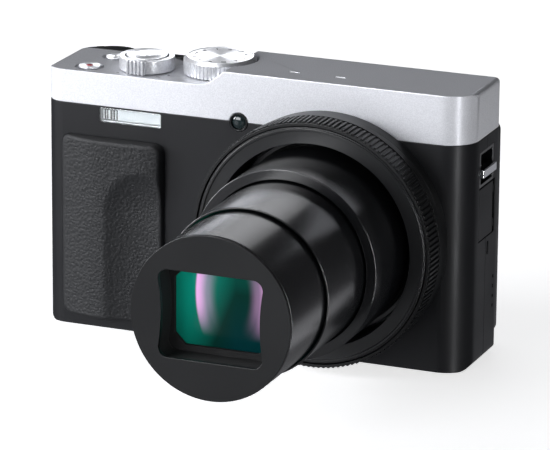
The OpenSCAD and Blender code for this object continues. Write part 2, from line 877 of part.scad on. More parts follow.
module deck_button(xy, r) {
    rod_z(xy[0], xy[1], deck_z - 0.5 + gap, deck_z + 0.3, r);
    rod_z(xy[0], xy[1], stem_z + 0.4, deck_z, r - 1.3);
}

module video_button() {
    color("#dcdce0") union() {
        deck_button(video_xy, video_r);
    }
}

module power_button() {
    color("#dcdce0") union() {
        deck_button(power_xy, power_r);
    }
}

// ---- Rear controls ----

module rear_dial() {
    color("#2e2e31") difference() {
        union() {
            translate([wheel_x, wheel_y1, wheel_z]) rotate([90, 0, 0])
                linear_extrude(wheel_y1 - back_y + 0.5) polygon(teeth(48, wheel_r, 0.25, 0.4));
            rod_y(wheel_x, wheel_z, 7.8, back_y, wheel_hub_r);
        }
        rod_y(wheel_x, wheel_z, 7, wheel_y1 + eps, wheel_in_r);
    }
}

module set_button() {
    color("#2a2a2d") rod_y(wheel_x, wheel_z, 9, wheel_y1 + 0.2, wheel_in_r - gap);
}

module rear_key(xz, r, y1) {
    color("#2a2a2d") union() {
        rod_y(xz[0], xz[1], key_y0, y1, r);
        rod_y(xz[0], xz[1], key_y0, key_y0 + 0.5, r + 0.6);
    }
}

module play_button() {
    rear_key(play_xz, key_r, key_y1);
}

module fn_button() {
    rear_key(fn_xz, key_r, key_y1);
}

module trash_button() {
    rear_key(trash_xz, key_r, key_y1);
}

module viewfinder_button() {
    rear_key(vf_key_xz, vf_key_r, 11);
}

// ---- Screen ----

module lcd_housing() {
    color("#1c1c1f") difference() {
        union() {
            slab_y(rounded_box(lcd_x0, lcd_z0, lcd_x1, lcd_z1, lcd_corner), lcd_y0, lcd_y1);
            for (x = lcd_knuckles_x) {
                block([x, lcd_hinge_y - 1.1, lcd_z1 - eps], [x + lcd_knuckle_l, lcd_hinge_y + 1.1,
                    lcd_hinge_z]);
                rod_x(lcd_hinge_y, lcd_hinge_z, x, x + lcd_knuckle_l, lcd_hinge_r);
            }
        }
        slab_y(rounded_box(lcd_x0 + 1.6, lcd_z0 + 1.6, lcd_x1 - 1.6, lcd_z1 - 1.6, 1),
            lcd_y1 - 1.4, lcd_y1 + eps);
        for (x = lcd_knuckles_x)
            rod_x(lcd_hinge_y, lcd_hinge_z, x - eps, x + lcd_knuckle_l + eps, lcd_pin_r + fit);
    }
}

module lcd_glass() {
    color("#0a0a0c") slab_y(rounded_box(lcd_x0 + 1.7, lcd_z0 + 1.7, lcd_x1 - 1.7, lcd_z1 - 1.7, 0.9),
        lcd_y1 - 1.4, lcd_y1 - 0.15);
}

module lcd_hinge_pins() {
    color("#b4b4b8") for (x = lcd_knuckles_x)
        rod_x(lcd_hinge_y, lcd_hinge_z, x - lcd_ear_w, x + lcd_knuckle_l + lcd_ear_w, lcd_pin_r);
}

// ---- Battery door ----

module battery_door() {
    color("#1f1f21") difference() {
        union() {
            block([door_axis_x, base_y0 + 0.2, 0], [door_x1, door_y1, base_t]);
            for (y = [[base_y0 + 0.3, -7.3], [-3.7, door_y1 - 0.2]])
                rod_y(door_axis_x, base_t, y[0], y[1], knuckle_r);
        }
        block([door_axis_x - 2, -7.2, -eps], [door_axis_x + 1.5, -3.8, 3]);
        rod_y(door_axis_x, base_t, base_y0, door_y1 + eps, door_pin_r + fit);
        block([-22.6, -7.4, -eps], [-15.6, -3.4, 0.9]);
    }
}

module battery_latch() {
    color("#3c3c3f") difference() {
        block([-19.9, -7.1, 0.15], [-15.9, -3.7, 0.8]);
        for (i = [0 : 3]) block([-19.3 + 0.9 * i, -6.6, 0], [-18.9 + 0.9 * i, -4.2, 0.4]);
    }
}

module battery_door_pin() {
    color("#b4b4b8") rod_y(door_axis_x, base_t, base_y0 + 0.3, door_y1 - 0.2, door_pin_r);
}

front_cover();
rear_cover();
top_cover();
base_plate();
base_screws();
tripod_bush();
grip_pad();
thumb_rest();
flash_window();
flash_reflector();
flash_tube();
flash_capacitor();
af_lamp_ring();
af_lamp_lens();
lug_plate();
strap_lug();
chassis();
battery_bay();
battery();
memory_card();
main_board();
top_board();
usb_socket();
speaker();
lens_collar();
face_ring();
lens_housing();
image_sensor();
sensor_board();
zoom_motor();
evf_housing();
eyepiece_frame();
eyepiece_lens();
lcd_hinge_pins();
battery_door_pin();
control_ring();
cam_ring();
rear_barrel();
middle_barrel();
front_barrel();
nose_plate();
lens_baffle();
front_element();
zoom_group();
mode_dial();
zoom_lever();
shutter_button();
video_button();
power_button();
rear_dial();
set_button();
play_button();
fn_button();
trash_button();
viewfinder_button();
lcd_housing();
lcd_glass();
battery_door();
battery_latch();
port_door();
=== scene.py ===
# %% [markdown]
# # A pocket travel camera
# This lesson dresses a finished CAD model of a compact camera: its solids are loaded as they
# are, given softened edges and real finishes, and small pieces are built around them.
# Everything is in metres and stands where the CAD puts it.

# %% Load the model
import math

import bmesh
import bpy
from mathutils import Matrix, Vector, noise


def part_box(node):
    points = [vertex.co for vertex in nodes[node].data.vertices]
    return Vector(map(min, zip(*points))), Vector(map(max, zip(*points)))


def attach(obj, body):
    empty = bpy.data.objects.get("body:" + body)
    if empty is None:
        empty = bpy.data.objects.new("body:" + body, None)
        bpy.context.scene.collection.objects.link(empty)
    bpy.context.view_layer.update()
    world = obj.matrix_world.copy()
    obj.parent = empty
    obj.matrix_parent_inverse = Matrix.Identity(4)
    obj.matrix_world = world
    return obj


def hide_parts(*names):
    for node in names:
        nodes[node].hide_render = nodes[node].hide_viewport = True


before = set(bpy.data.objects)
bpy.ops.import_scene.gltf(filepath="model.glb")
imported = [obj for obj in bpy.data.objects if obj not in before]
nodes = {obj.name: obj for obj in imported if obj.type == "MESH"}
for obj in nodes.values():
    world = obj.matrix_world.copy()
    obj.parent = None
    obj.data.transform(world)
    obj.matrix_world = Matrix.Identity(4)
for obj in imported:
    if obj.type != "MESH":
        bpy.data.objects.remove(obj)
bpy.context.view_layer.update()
MM = 0.001

# %% [markdown]
# ## Colours and shader nodes
# Paint charts give colours as sRGB, while the renderer adds light in linear values, so every
# colour goes through one function. A second function adds a node with its settings and links,
# which keeps each material short enough to read in one look.


# %% Colour and node helpers
def linear(code):
    parts = [int(code[i:i + 2], 16) / 255 for i in (1, 3, 5)]
    return tuple(p / 12.92 if p <= 0.04045 else ((p + 0.055) / 1.055) ** 2.4 for p in parts) + (1.0,)


def add(tree, kind, inputs=None, **settings):
    node = tree.nodes.new(kind)
    for key, value in settings.items():
        setattr(node, key, value)
    for socket, value in (inputs or {}).items():
        if isinstance(value, bpy.types.NodeSocket):
            tree.links.new(value, node.inputs[socket])
        else:
            node.inputs[socket].default_value = value
    return node


def finish(name, colour, roughness, metallic=0.0, **sockets):
    material = bpy.data.materials.new(name)
    material.use_nodes = True
    tree = material.node_tree
    tree.nodes.clear()
    shader = add(tree, "ShaderNodeBsdfPrincipled", {
        "Base Color": linear(colour), "Roughness": roughness, "Metallic": metallic,
        **{key.replace("_", " "): value for key, value in sockets.items()}})
    add(tree, "ShaderNodeOutputMaterial", {"Surface": shader.outputs["BSDF"]})
    return material, tree, shader


def place(tree):
    return add(tree, "ShaderNodeTexCoord").outputs["Object"]


print("black plastic in linear light:", [round(v, 4) for v in linear("#26272A")])

# %% [markdown]
# ## Camera
# The camera stands to the right of the lens and looks down a little, with a long lens that
# keeps the box of the body nearly free of perspective. Its place is worked out from the
# bearing, the height angle, a slight roll and the distance, with a small step sideways and down.

# %% Place the camera
AZIMUTH, ELEVATION, ROLL = (math.radians(a) for a in (22.04, 16.89, 0.44))
AIM = Vector((0.5, -14.0, 34.0)) * MM
DISTANCE = 1038.4 * MM
SIDE_STEP, UP_STEP = 5.12 * MM, -2.36 * MM

ahead = Vector((-math.sin(AZIMUTH) * math.cos(ELEVATION),
                math.cos(AZIMUTH) * math.cos(ELEVATION), -math.sin(ELEVATION)))
level_right = Vector((math.cos(AZIMUTH), math.sin(AZIMUTH), 0))
level_up = level_right.cross(ahead)
right = math.cos(ROLL) * level_right + math.sin(ROLL) * level_up
above = math.cos(ROLL) * level_up - math.sin(ROLL) * level_right
eye = AIM - ahead * DISTANCE + right * SIDE_STEP + above * UP_STEP

view = bpy.data.cameras.new("view")
view.lens, view.sensor_width, view.sensor_fit = 279.1, 36.0, "HORIZONTAL"
view.clip_start, view.clip_end = 0.05, 20
camera = bpy.data.objects.new("camera", view)
camera.matrix_world = Matrix.Translation(eye) @ Matrix((right, above, -ahead)).transposed().to_4x4()
bpy.context.scene.collection.objects.link(camera)
bpy.context.scene.camera = camera
print("eye at", [round(v, 3) for v in eye])

# %% [markdown]
# ## Room light
# Black surfaces show mostly what they mirror. An evenly lit room would make them grey, so this
# one is dim, and holds four soft pale cards: one high and one low behind the body, for bands
# along the barrels, one low in front and one on the left.

# %% World with soft cards
scene = bpy.context.scene
scene.view_settings.view_transform = "Standard"

world = bpy.data.worlds.new("studio")
scene.world = world
world.use_nodes = True
sky = world.node_tree
sky.nodes.clear()
towards = add(sky, "ShaderNodeTexCoord").outputs["Generated"]
height = add(sky, "ShaderNodeSeparateXYZ", {"Vector": towards})
room = add(sky, "ShaderNodeMapRange", {"Value": height.outputs["Z"], "From Min": -0.5, "From Max": 0.1,
                                       "To Min": 0.16, "To Max": 0.06}, interpolation_type="SMOOTHSTEP")
# Each card: the direction it is seen in, its rough half width in degrees, and its brightness.
# It glows fully within FULL half widths of its middle, and is gone at GONE half widths.
FULL, GONE = 0.5, 1.6
CARDS = (((-0.17, 0.89, 0.46), 6, 0.45), ((0.27, 0.89, -0.38), 6, 0.5),
         ((-0.58, -0.76, -0.28), 12, 0.7), ((-0.90, 0.20, 0.30), 12, 0.2))
total = room.outputs["Result"]
for direction, spread_deg, glow in CARDS:
    facing = add(sky, "ShaderNodeVectorMath", {0: towards, 1: Vector(direction).normalized()},
                 operation="DOT_PRODUCT")
    card = add(sky, "ShaderNodeMapRange", {
        "Value": facing.outputs["Value"], "From Min": math.cos(math.radians(GONE * spread_deg)),
        "From Max": math.cos(math.radians(FULL * spread_deg)), "To Max": glow},
        interpolation_type="SMOOTHSTEP")
    both = add(sky, "ShaderNodeMath", {0: total, 1: card.outputs["Result"]}, operation="ADD")
    total = both.outputs["Value"]
backdrop = add(sky, "ShaderNodeBackground", {"Color": linear("#F8F9FF"), "Strength": total})
add(sky, "ShaderNodeOutputWorld", {"Surface": backdrop.outputs["Background"]})

# %% [markdown]
# ## Lamps
# A studio lights a small product with large soft panels, and flags off what shouldn't catch
# them. Two low keys, in front and well to the left, light the silver band while the deck above
# it stays grey. The back fill adds no reflections. The edge panel overhead and the strip on the
# right add nothing else, so that rounded edges draw thin bright lines. Three panels light only
# the parts that they are for: the dials, the lens from above and behind, and the rings at the
# root of the lens.

# %% Lamps
LAMP_COLOUR = (0.960, 0.973, 1.0)
MIDDLE_OF_BODY = (0.0, -0.02, 0.035)


def softbox(name, spot, size, power, target=MIDDLE_OF_BODY):
    """Hangs a rectangular panel at spot, in metres, turned towards target. power is in watts."""
    lamp = bpy.data.lights.new(name, "AREA")
    lamp.shape, lamp.energy = "RECTANGLE", power
    lamp.size, lamp.size_y = size
    lamp.color = LAMP_COLOUR
    holder = bpy.data.objects.new(name, lamp)
    holder.location = spot
    holder.rotation_mode = "QUATERNION"
    holder.rotation_quaternion = (Vector(target) - Vector(spot)).to_track_quat("-Z", "Y")
    holder.visible_camera = False
    scene.collection.objects.link(holder)
    return holder


def only_on(panel, names):
    """Lets a panel light the named parts alone, and returns them as a collection."""
    parts = bpy.data.collections.new(panel.name + "_lights")
    for name in names:
        parts.objects.link(nodes[name])
    panel.light_linking.receiver_collection = parts
    return parts


softbox("front_key", (-0.52, -1.16, 0.32), (0.8, 0.5), 9.5)
softbox("left_key", (-1.16, -0.56, 0.34), (0.5, 0.5), 15.0)
softbox("top_panel", (-0.15, 0.35, 0.95), (0.6, 0.4), 0.8)
softbox("right_strip", (0.74, -0.60, -0.12), (0.10, 0.8), 13.0).visible_diffuse = False
softbox("back_fill", (-0.60, 1.30, 0.25), (0.7, 0.5), 5.0).visible_glossy = False
dial_panel = softbox("dial_panel", (-0.20, 0.42, 0.32), (0.12, 0.06), 0.5, (-0.02, 0.0, 0.07))
lens_panel = softbox("lens_panel", (-0.12, 0.59, 0.33), (0.34, 0.22), 0.27)
softbox("edge_panel", (-0.36, -0.33, 0.95), (0.35, 0.35), 9.0).visible_diffuse = False
ring_panel = softbox("ring_panel", (-0.95, 0.02, 0.34), (0.25, 0.25), 3.0, (0.0, -0.03, 0.035))

lens_parts = only_on(lens_panel, ("rear_barrel", "middle_barrel", "front_barrel",
                                  "control_ring", "lens_collar"))
lens_panel.light_linking.blocker_collection = lens_parts  # so the shell casts no shadow on them
only_on(ring_panel, ("control_ring", "lens_collar", "face_ring"))
only_on(dial_panel, ("mode_dial", "zoom_lever", "shutter_button", "video_button", "power_button"))

# %% [markdown]
# ## Table
# The table is a pale sheet that glows a little, as a light table does, so the body stands on
# near-white with only a soft shadow. It is left out of mirror reflections, so that black stays
# black, and it lies a hair below the feet, so that the two faces never coincide.

# %% Table
TABLE_HALF, TABLE_DROP = 4, 0.05 * MM
table_white, tree, shader = finish("pale_table", "#F4F4F5", 0.6, Emission_Strength=0.72)
speck = add(tree, "ShaderNodeTexNoise", {"Vector": place(tree), "Scale": 6.0, "Detail": 2.0})
tint = add(tree, "ShaderNodeMix", {"Factor": speck.outputs["Fac"], "A": linear("#F2F2F4"),
                                   "B": linear("#F7F7F8")}, data_type="RGBA")
tree.links.new(tint.outputs["Result"], shader.inputs["Base Color"])
shader.inputs["Emission Color"].default_value = linear("#FFFFFF")
table_mesh = bpy.data.meshes.new("table")
table_mesh.from_pydata([(x * TABLE_HALF, y * TABLE_HALF, 0) for x, y in ((-1, -1), (1, -1), (1, 1), (-1, 1))],
                       [], [(0, 1, 2, 3)])
table_mesh.materials.append(table_white)
table = bpy.data.objects.new("table", table_mesh)
table.location.z = -TABLE_DROP
table.visible_glossy = False
scene.collection.objects.link(table)
print("table side in metres:", 2 * TABLE_HALF)

# %% [markdown]
# ## Finishes of the shell
# The black shell is polycarbonate, moulded in a spark-eroded tool and sprayed with a thin soft
# paint: a satin black with a fine even grain. The silver band has the same plastic under a
# metallic paint, whose flakes make a faint sparkle. Grain size comes from the tool's texture,
# about 0.1 mm, drawn at twice that so that it shows. Gloss also drifts in wide clouds, as it
# does on anything sprayed or handled.

# %% Black and silver shell
GRAIN_MM, CLOUD_MM = 0.22, 22.2


def fine_grain(tree, shader, size_mm, depth_mm, low, high, strength=0.5):
    """Moulded or sprayed grain: a small bump, and gloss that varies between low and high."""
    noise_map = add(tree, "ShaderNodeTexNoise", {"Vector": place(tree), "Scale": 1 / (size_mm * MM),
                                                 "Detail": 3.0, "Roughness": 0.6})
    cloud = add(tree, "ShaderNodeTexNoise", {"Vector": place(tree), "Scale": 1 / (CLOUD_MM * MM),
                                             "Detail": 4.0})
    gloss = add(tree, "ShaderNodeMapRange", {"Value": cloud.outputs["Fac"], "From Min": 0.3,
                                             "From Max": 0.7, "To Min": low, "To Max": high})
    bump = add(tree, "ShaderNodeBump", {"Height": noise_map.outputs["Fac"], "Strength": strength,
                                        "Distance": depth_mm * MM})
    tree.links.new(gloss.outputs["Result"], shader.inputs["Roughness"])
    tree.links.new(bump.outputs["Normal"], shader.inputs["Normal"])
    return noise_map


def vary(tree, shader, factor, dark, light, low=0.35, high=0.65):
    """Lets the base colour wander between two close colours."""
    spread = add(tree, "ShaderNodeMapRange", {"Value": factor, "From Min": low, "From Max": high})
    mix = add(tree, "ShaderNodeMix", {"Factor": spread.outputs["Result"], "A": linear(dark),
                                      "B": linear(light)}, data_type="RGBA")
    tree.links.new(mix.outputs["Result"], shader.inputs["Base Color"])


# Soft-painted polycarbonate: deep neutral black, satin, a faint even grain under raking light.
shell_black, tree, shader = finish("soft_painted_polycarbonate", "#0D0E11", 0.42, IOR=1.42)
grain = fine_grain(tree, shader, GRAIN_MM, 0.012, 0.40, 0.48)
vary(tree, shader, grain.outputs["Fac"], "#090A0E", "#0E0F14")

# Metallic spray on polycarbonate: bright grey-white, satin, with flakes that catch the lamp.
shell_silver, tree, shader = finish("silver_sprayed_polycarbonate", "#D8D9DE", 0.36, metallic=0.25,
                                    IOR=1.5, Coat_Weight=0.12, Coat_Roughness=0.22)
grain = fine_grain(tree, shader, GRAIN_MM, 0.010, 0.33, 0.42, strength=0.6)
vary(tree, shader, grain.outputs["Fac"], "#CFD0D5", "#E3E4E9")
print("shell finishes:", shell_black.name, shell_silver.name)

# %% [markdown]
# ## Finishes of the lens
# The barrels are aluminium tubes, turned, bead-blasted and anodised black: nearly black, with a
# soft sheen that runs along the tube. The control ring is moulded and painted matt. The flat
# face ring next to it is enamelled. The funnel round the front glass is flat black, so that it
# swallows light.

# %% Barrels, rings and light trap
# Black anodised aluminium: a dye-filled oxide, so it is shaded as a dark satin coat, not bare metal.
barrel_black, tree, shader = finish("black_anodised_aluminium", "#0E0F11", 0.22, IOR=1.6,
                                    Coat_Weight=0.25, Coat_Roughness=0.16)
turning = add(tree, "ShaderNodeTexWave", {"Vector": place(tree), "Scale": 1 / (1.3 * MM),
                                          "Distortion": 0.4, "Detail": 2.0}, bands_direction="Y")
blast = add(tree, "ShaderNodeTexNoise", {"Vector": place(tree), "Scale": 1 / (0.15 * MM)})
both = add(tree, "ShaderNodeMath", {0: turning.outputs["Fac"], 1: blast.outputs["Fac"]}, operation="ADD")
bump = add(tree, "ShaderNodeBump", {"Height": both.outputs["Value"], "Strength": 0.25,
                                    "Distance": 0.003 * MM})
tree.links.new(bump.outputs["Normal"], shader.inputs["Normal"])
vary(tree, shader, blast.outputs["Fac"], "#0C0D0F", "#121316")

# Moulded and painted ring plastic: dark grey-black and matt, so its wide front face stays even.
ring_black, tree, shader = finish("matt_painted_nylon", "#0B0C0E", 0.42, IOR=1.42)
grain = fine_grain(tree, shader, 0.18, 0.008, 0.37, 0.46)
vary(tree, shader, grain.outputs["Fac"], "#090A0C", "#0E0F11")

# Semi-gloss enamel on the turned face ring: slicker than the nylon, so it picks up the low card.
face_black, tree, shader = finish("semi_gloss_enamelled_aluminium", "#141517", 0.30, IOR=1.55)
grain = fine_grain(tree, shader, 0.2, 0.005, 0.27, 0.34, strength=0.3)
vary(tree, shader, grain.outputs["Fac"], "#121315", "#18191B")

# Light-trap plastic inside the nose: almost no shine, only a hint of form.
trap_black, tree, shader = finish("light_trap_abs", "#08080A", 0.75, IOR=1.45)
grain = fine_grain(tree, shader, 0.3, 0.02, 0.68, 0.82)
vary(tree, shader, grain.outputs["Fac"], "#060607", "#0C0C0E")
print("lens finishes:", [m.name for m in (barrel_black, ring_black, face_black, trap_black)])

# %% [markdown]
# ## Finishes of the controls and small parts
# Dials and buttons are aluminium, turned on a lathe and anodised clear. The cutter leaves fine
# circles, which stretch a highlight into a bow tie: anisotropy round the axis gives that.
# The rest are common finishes: rubber, gloss ABS, chrome, steel, clear polycarbonate.

# %% Controls, rubber and trim
# Spun aluminium, clear anodised: bright, with highlights fanned out by the turning circles.
spun_alu, tree, shader = finish("spun_clear_anodised_aluminium", "#E6E7EA", 0.28, metallic=0.65,
                                Anisotropic=0.7)
spin = add(tree, "ShaderNodeTangent", direction_type="RADIAL", axis="Z")
tree.links.new(spin.outputs["Tangent"], shader.inputs["Tangent"])
speck = add(tree, "ShaderNodeTexNoise", {"Vector": place(tree), "Scale": 1 / (0.5 * MM), "Detail": 2.0})
vary(tree, shader, speck.outputs["Fac"], "#DCDDE1", "#EEEFF2")

# Leather-grained elastomer: charcoal, dull, with a slightly lighter bloom on the raised grain.
grip_skin, tree, shader = finish("leather_grained_elastomer", "#18191B", 0.62, IOR=1.45)
creases = add(tree, "ShaderNodeTexVoronoi", {"Vector": place(tree), "Scale": 1 / (0.55 * MM)},
              feature="SMOOTH_F1")
pores = add(tree, "ShaderNodeTexNoise", {"Vector": place(tree), "Scale": 1 / (0.16 * MM), "Detail": 3.0})
relief = add(tree, "ShaderNodeMath", {0: creases.outputs["Distance"], 1: pores.outputs["Fac"]},
             operation="MULTIPLY_ADD")
relief.inputs[2].default_value = 0.2
bump = add(tree, "ShaderNodeBump", {"Height": relief.outputs["Value"], "Strength": 0.5,
                                    "Distance": 0.05 * MM})
tree.links.new(bump.outputs["Normal"], shader.inputs["Normal"])
vary(tree, shader, pores.outputs["Fac"], "#121315", "#202124")

# High-gloss ABS: used for small trims, it mirrors the lamps sharply.
trim_gloss, tree, shader = finish("gloss_black_abs", "#141517", 0.2, IOR=1.52)
grain = fine_grain(tree, shader, 0.6, 0.004, 0.16, 0.24, strength=0.2)
vary(tree, shader, grain.outputs["Fac"], "#121315", "#18191B")

# Moulded keys: black polycarbonate, satin from the fine texture of the mould.
key_black, tree, shader = finish("satin_key_polycarbonate", "#1A1B1D", 0.36, IOR=1.5)
grain = fine_grain(tree, shader, 0.25, 0.008, 0.32, 0.40)
vary(tree, shader, grain.outputs["Fac"], "#17181A", "#1E1F22")

# Bright nickel-chrome plate on a steel bar: a clean mirror with a trace of polishing lines.
chrome, tree, shader = finish("bright_chrome_plate", "#D3D4D8", 0.16, metallic=1.0)
lines = add(tree, "ShaderNodeTexWave", {"Vector": place(tree), "Scale": 1 / (0.6 * MM), "Distortion": 1.5},
            bands_direction="Z")
rough = add(tree, "ShaderNodeMapRange", {"Value": lines.outputs["Fac"], "To Min": 0.12, "To Max": 0.22})
tree.links.new(rough.outputs["Result"], shader.inputs["Roughness"])

# Turned stainless steel: greyer and duller than chrome, with lathe lines.
steel, tree, shader = finish("turned_stainless_steel", "#A9AAAC", 0.32, metallic=1.0)
lines = add(tree, "ShaderNodeTexWave", {"Vector": place(tree), "Scale": 1 / (0.4 * MM), "Distortion": 0.3},
            bands_direction="Z")
bump = add(tree, "ShaderNodeBump", {"Height": lines.outputs["Fac"], "Strength": 0.3, "Distance": 0.01 * MM})
tree.links.new(bump.outputs["Normal"], shader.inputs["Normal"])

# Black-oxide screw steel: a brown-black oxide with a dull metal shine.
screw_black, tree, shader = finish("black_oxide_steel", "#2C2B2B", 0.38, metallic=0.85)
grain = fine_grain(tree, shader, 0.2, 0.01, 0.32, 0.46)
vary(tree, shader, grain.outputs["Fac"], "#252424", "#353434")

# Clear polycarbonate: a hard window, a little blue, with sharp reflections.
clear_pc, tree, shader = finish("clear_polycarbonate", "#F7FAFB", 0.05, IOR=1.58,
                                Transmission_Weight=0.95)
waves = add(tree, "ShaderNodeTexNoise", {"Vector": place(tree), "Scale": 1 / (8.33 * MM)})
bump = add(tree, "ShaderNodeBump", {"Height": waves.outputs["Fac"], "Strength": 0.1, "Distance": 0.01 * MM})
tree.links.new(bump.outputs["Normal"], shader.inputs["Normal"])

# Rolled bright aluminium for the flash mirror: white-silver, lightly brushed along its length.
flash_mirror, tree, shader = finish("bright_rolled_aluminium", "#F6F7F8", 0.30, metallic=0.55)
brush = add(tree, "ShaderNodeTexWave", {"Vector": place(tree), "Scale": 1 / (0.5 * MM), "Distortion": 0.8},
            bands_direction="Z")
bump = add(tree, "ShaderNodeBump", {"Height": brush.outputs["Fac"], "Strength": 0.4, "Distance": 0.02 * MM})
tree.links.new(bump.outputs["Normal"], shader.inputs["Normal"])
print("small-part finishes made:", len(bpy.data.materials))

# %% [markdown]
# ## Glass
# Coated glass hardly mirrors white light, so the front glass has its light painted into its
# colour: a green ramp that lightens up and to the left over the dome is painted light, and a rose
# painted reflection lies on it as a soft oval band, which fades out below and in the middle. The
# glass glows a little with these colours. The rear screen is gloss glass over a display that is a
# shade lighter than its border.

# %% Front glass
lens_low, lens_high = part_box("front_element")
lens_x, lens_z = (lens_low.x + lens_high.x) / 2, (lens_low.z + lens_high.z) / 2
GLASS_HALF_HIGH = 9.5 * MM
NO_PAINTED_ROSE, FULL_PAINTED_ROSE = (0, 0, 0, 1), (1, 1, 1, 1)
PAINTED_ROSE_STRETCH = Vector((1, 0, 0.55))
PAINTED_ROSE_REACH = 12 * MM

# The front glass has painted light and a painted reflection in its colour, and glows with them.
coated_glass, tree, shader = finish("multicoated_glass_painted_light", "#0A3B33", 0.12, IOR=1.5,
                                    Specular_IOR_Level=0.12)
place_on_glass = place(tree)
axes = add(tree, "ShaderNodeSeparateXYZ", {"Vector": place_on_glass})
upward = add(tree, "ShaderNodeMapRange", {"Value": axes.outputs["Z"],
                                          "From Min": lens_z - GLASS_HALF_HIGH,
                                          "From Max": lens_z + GLASS_HALF_HIGH})
leftward = add(tree, "ShaderNodeMapRange", {"Value": axes.outputs["X"], "From Min": lens_x - 9.0 * MM,
                                            "From Max": lens_x + 3.0 * MM, "To Min": 0.75, "To Max": 0.0})
slant = add(tree, "ShaderNodeMath", {0: upward.outputs["Result"], 1: 0.5}, operation="MULTIPLY")
painted_light_slope = add(tree, "ShaderNodeMath", {0: slant.outputs["Value"], 1: leftward.outputs["Result"]},
                  operation="ADD")
# Green ramp, lighter up and to the left: painted light.
green = add(tree, "ShaderNodeValToRGB", {"Fac": painted_light_slope.outputs["Value"]})
green.color_ramp.elements[0].color = linear("#012C30")
green.color_ramp.elements[1].color = linear("#0A7F6C")
green.color_ramp.elements.new(0.35).color = linear("#052B25")
from_spot = add(tree, "ShaderNodeVectorMath", {
    0: place_on_glass, 1: Vector((lens_x + 2.3 * MM, 0, lens_z + 3.5 * MM))}, operation="SUBTRACT")
oval = add(tree, "ShaderNodeVectorMath", {0: from_spot.outputs["Vector"], 1: PAINTED_ROSE_STRETCH},
           operation="MULTIPLY")
away = add(tree, "ShaderNodeVectorMath", {0: oval.outputs["Vector"]}, operation="LENGTH")
from_ring = add(tree, "ShaderNodeMapRange", {"Value": away.outputs["Value"], "From Max": PAINTED_ROSE_REACH})
# The rose oval band is a painted reflection of the lamps, faded out below and in the middle.
painted_rose_reflection = add(tree, "ShaderNodeValToRGB", {"Fac": from_ring.outputs["Result"]})
painted_rose_reflection.color_ramp.interpolation = "EASE"
painted_rose_reflection.color_ramp.elements[0].position, painted_rose_reflection.color_ramp.elements[0].color = 0.30, NO_PAINTED_ROSE
painted_rose_reflection.color_ramp.elements[1].position, painted_rose_reflection.color_ramp.elements[1].color = 0.785, NO_PAINTED_ROSE
painted_rose_reflection.color_ramp.elements.new(0.52).color = (0.25, 0.25, 0.25, 1)
painted_rose_reflection.color_ramp.elements.new(0.74).color = FULL_PAINTED_ROSE
painted_rose_fade = add(tree, "ShaderNodeValToRGB", {"Fac": upward.outputs["Result"]})
painted_rose_fade.color_ramp.interpolation = "EASE"
painted_rose_fade.color_ramp.elements[0].position, painted_rose_fade.color_ramp.elements[0].color = 0.12, NO_PAINTED_ROSE
painted_rose_fade.color_ramp.elements[1].position, painted_rose_fade.color_ramp.elements[1].color = 0.62, FULL_PAINTED_ROSE
sideways = add(tree, "ShaderNodeMath", {0: axes.outputs["X"], 1: lens_x + 2.0 * MM}, operation="SUBTRACT")
off_middle = add(tree, "ShaderNodeMath", {0: sideways.outputs["Value"]}, operation="ABSOLUTE")
painted_rose_flanks = add(tree, "ShaderNodeMapRange", {"Value": off_middle.outputs["Value"], "From Min": 2.0 * MM,
                                          "From Max": 6.5 * MM}, interpolation_type="SMOOTHSTEP")
part = add(tree, "ShaderNodeMath", {0: painted_rose_reflection.outputs["Color"], 1: painted_rose_fade.outputs["Color"]},
           operation="MULTIPLY")
painted_reflection_mask = add(tree, "ShaderNodeMath", {0: part.outputs["Value"], 1: painted_rose_flanks.outputs["Result"]},
           operation="MULTIPLY")
painted_glass_colour = add(tree, "ShaderNodeMix", {"Factor": painted_reflection_mask.outputs["Value"], "A": green.outputs["Color"],
                                     "B": linear("#EBB0E8")}, data_type="RGBA")
tree.links.new(painted_glass_colour.outputs["Result"], shader.inputs["Base Color"])
# The painted colours also glow a little: painted light.
tree.links.new(painted_glass_colour.outputs["Result"], shader.inputs["Emission Color"])
shader.inputs["Emission Strength"].default_value = 0.2
print("front glass centre in mm:", round(lens_x / MM, 2), round(lens_z / MM, 2))

# %% Lamp glass, screen and eyepiece
# Smoked acrylic over the focus lamp: a dark glossy bead with a painted sheen, lighter where it
# faces the view and darker towards its rim.
lamp_glass_painted_sheen, tree, shader = finish("smoked_acrylic_painted_sheen", "#101416", 0.08, IOR=1.49, Coat_Weight=0.5,
                                  Coat_Roughness=0.03)
# Painted sheen: the colour is lighter where the bead faces the view.
rim = add(tree, "ShaderNodeLayerWeight", {"Blend": 0.4})
vary(tree, shader, rim.outputs["Facing"], "#1F2A2C", "#0A0C0E", low=0.0, high=0.8)

# Screen glass: gloss black, with the display's own rectangle just visible beneath.
screen_low, screen_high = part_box("lcd_glass")
screen_glass, tree, shader = finish("screen_cover_glass", "#08090B", 0.06, IOR=1.52, Coat_Weight=0.4,
                                    Coat_Roughness=0.02)
SIDE_BORDER, TOP_BORDER = 4.5 * MM, 3.6 * MM
axes = add(tree, "ShaderNodeSeparateXYZ", {"Vector": place(tree)})
inside = []
for axis, low, high, border in (("X", screen_low.x, screen_high.x, SIDE_BORDER),
                                ("Z", screen_low.z, screen_high.z, TOP_BORDER)):
    offset = add(tree, "ShaderNodeMath", {0: axes.outputs[axis], 1: (low + high) / 2}, operation="SUBTRACT")
    size = add(tree, "ShaderNodeMath", {0: offset.outputs["Value"]}, operation="ABSOLUTE")
    inside.append(add(tree, "ShaderNodeMath", {0: size.outputs["Value"], 1: (high - low) / 2 - border},
                      operation="LESS_THAN"))
shown = add(tree, "ShaderNodeMath", {0: inside[0].outputs["Value"], 1: inside[1].outputs["Value"]},
            operation="MULTIPLY")
vary(tree, shader, shown.outputs["Value"], "#050506", "#12151A", low=0.0, high=1.0)

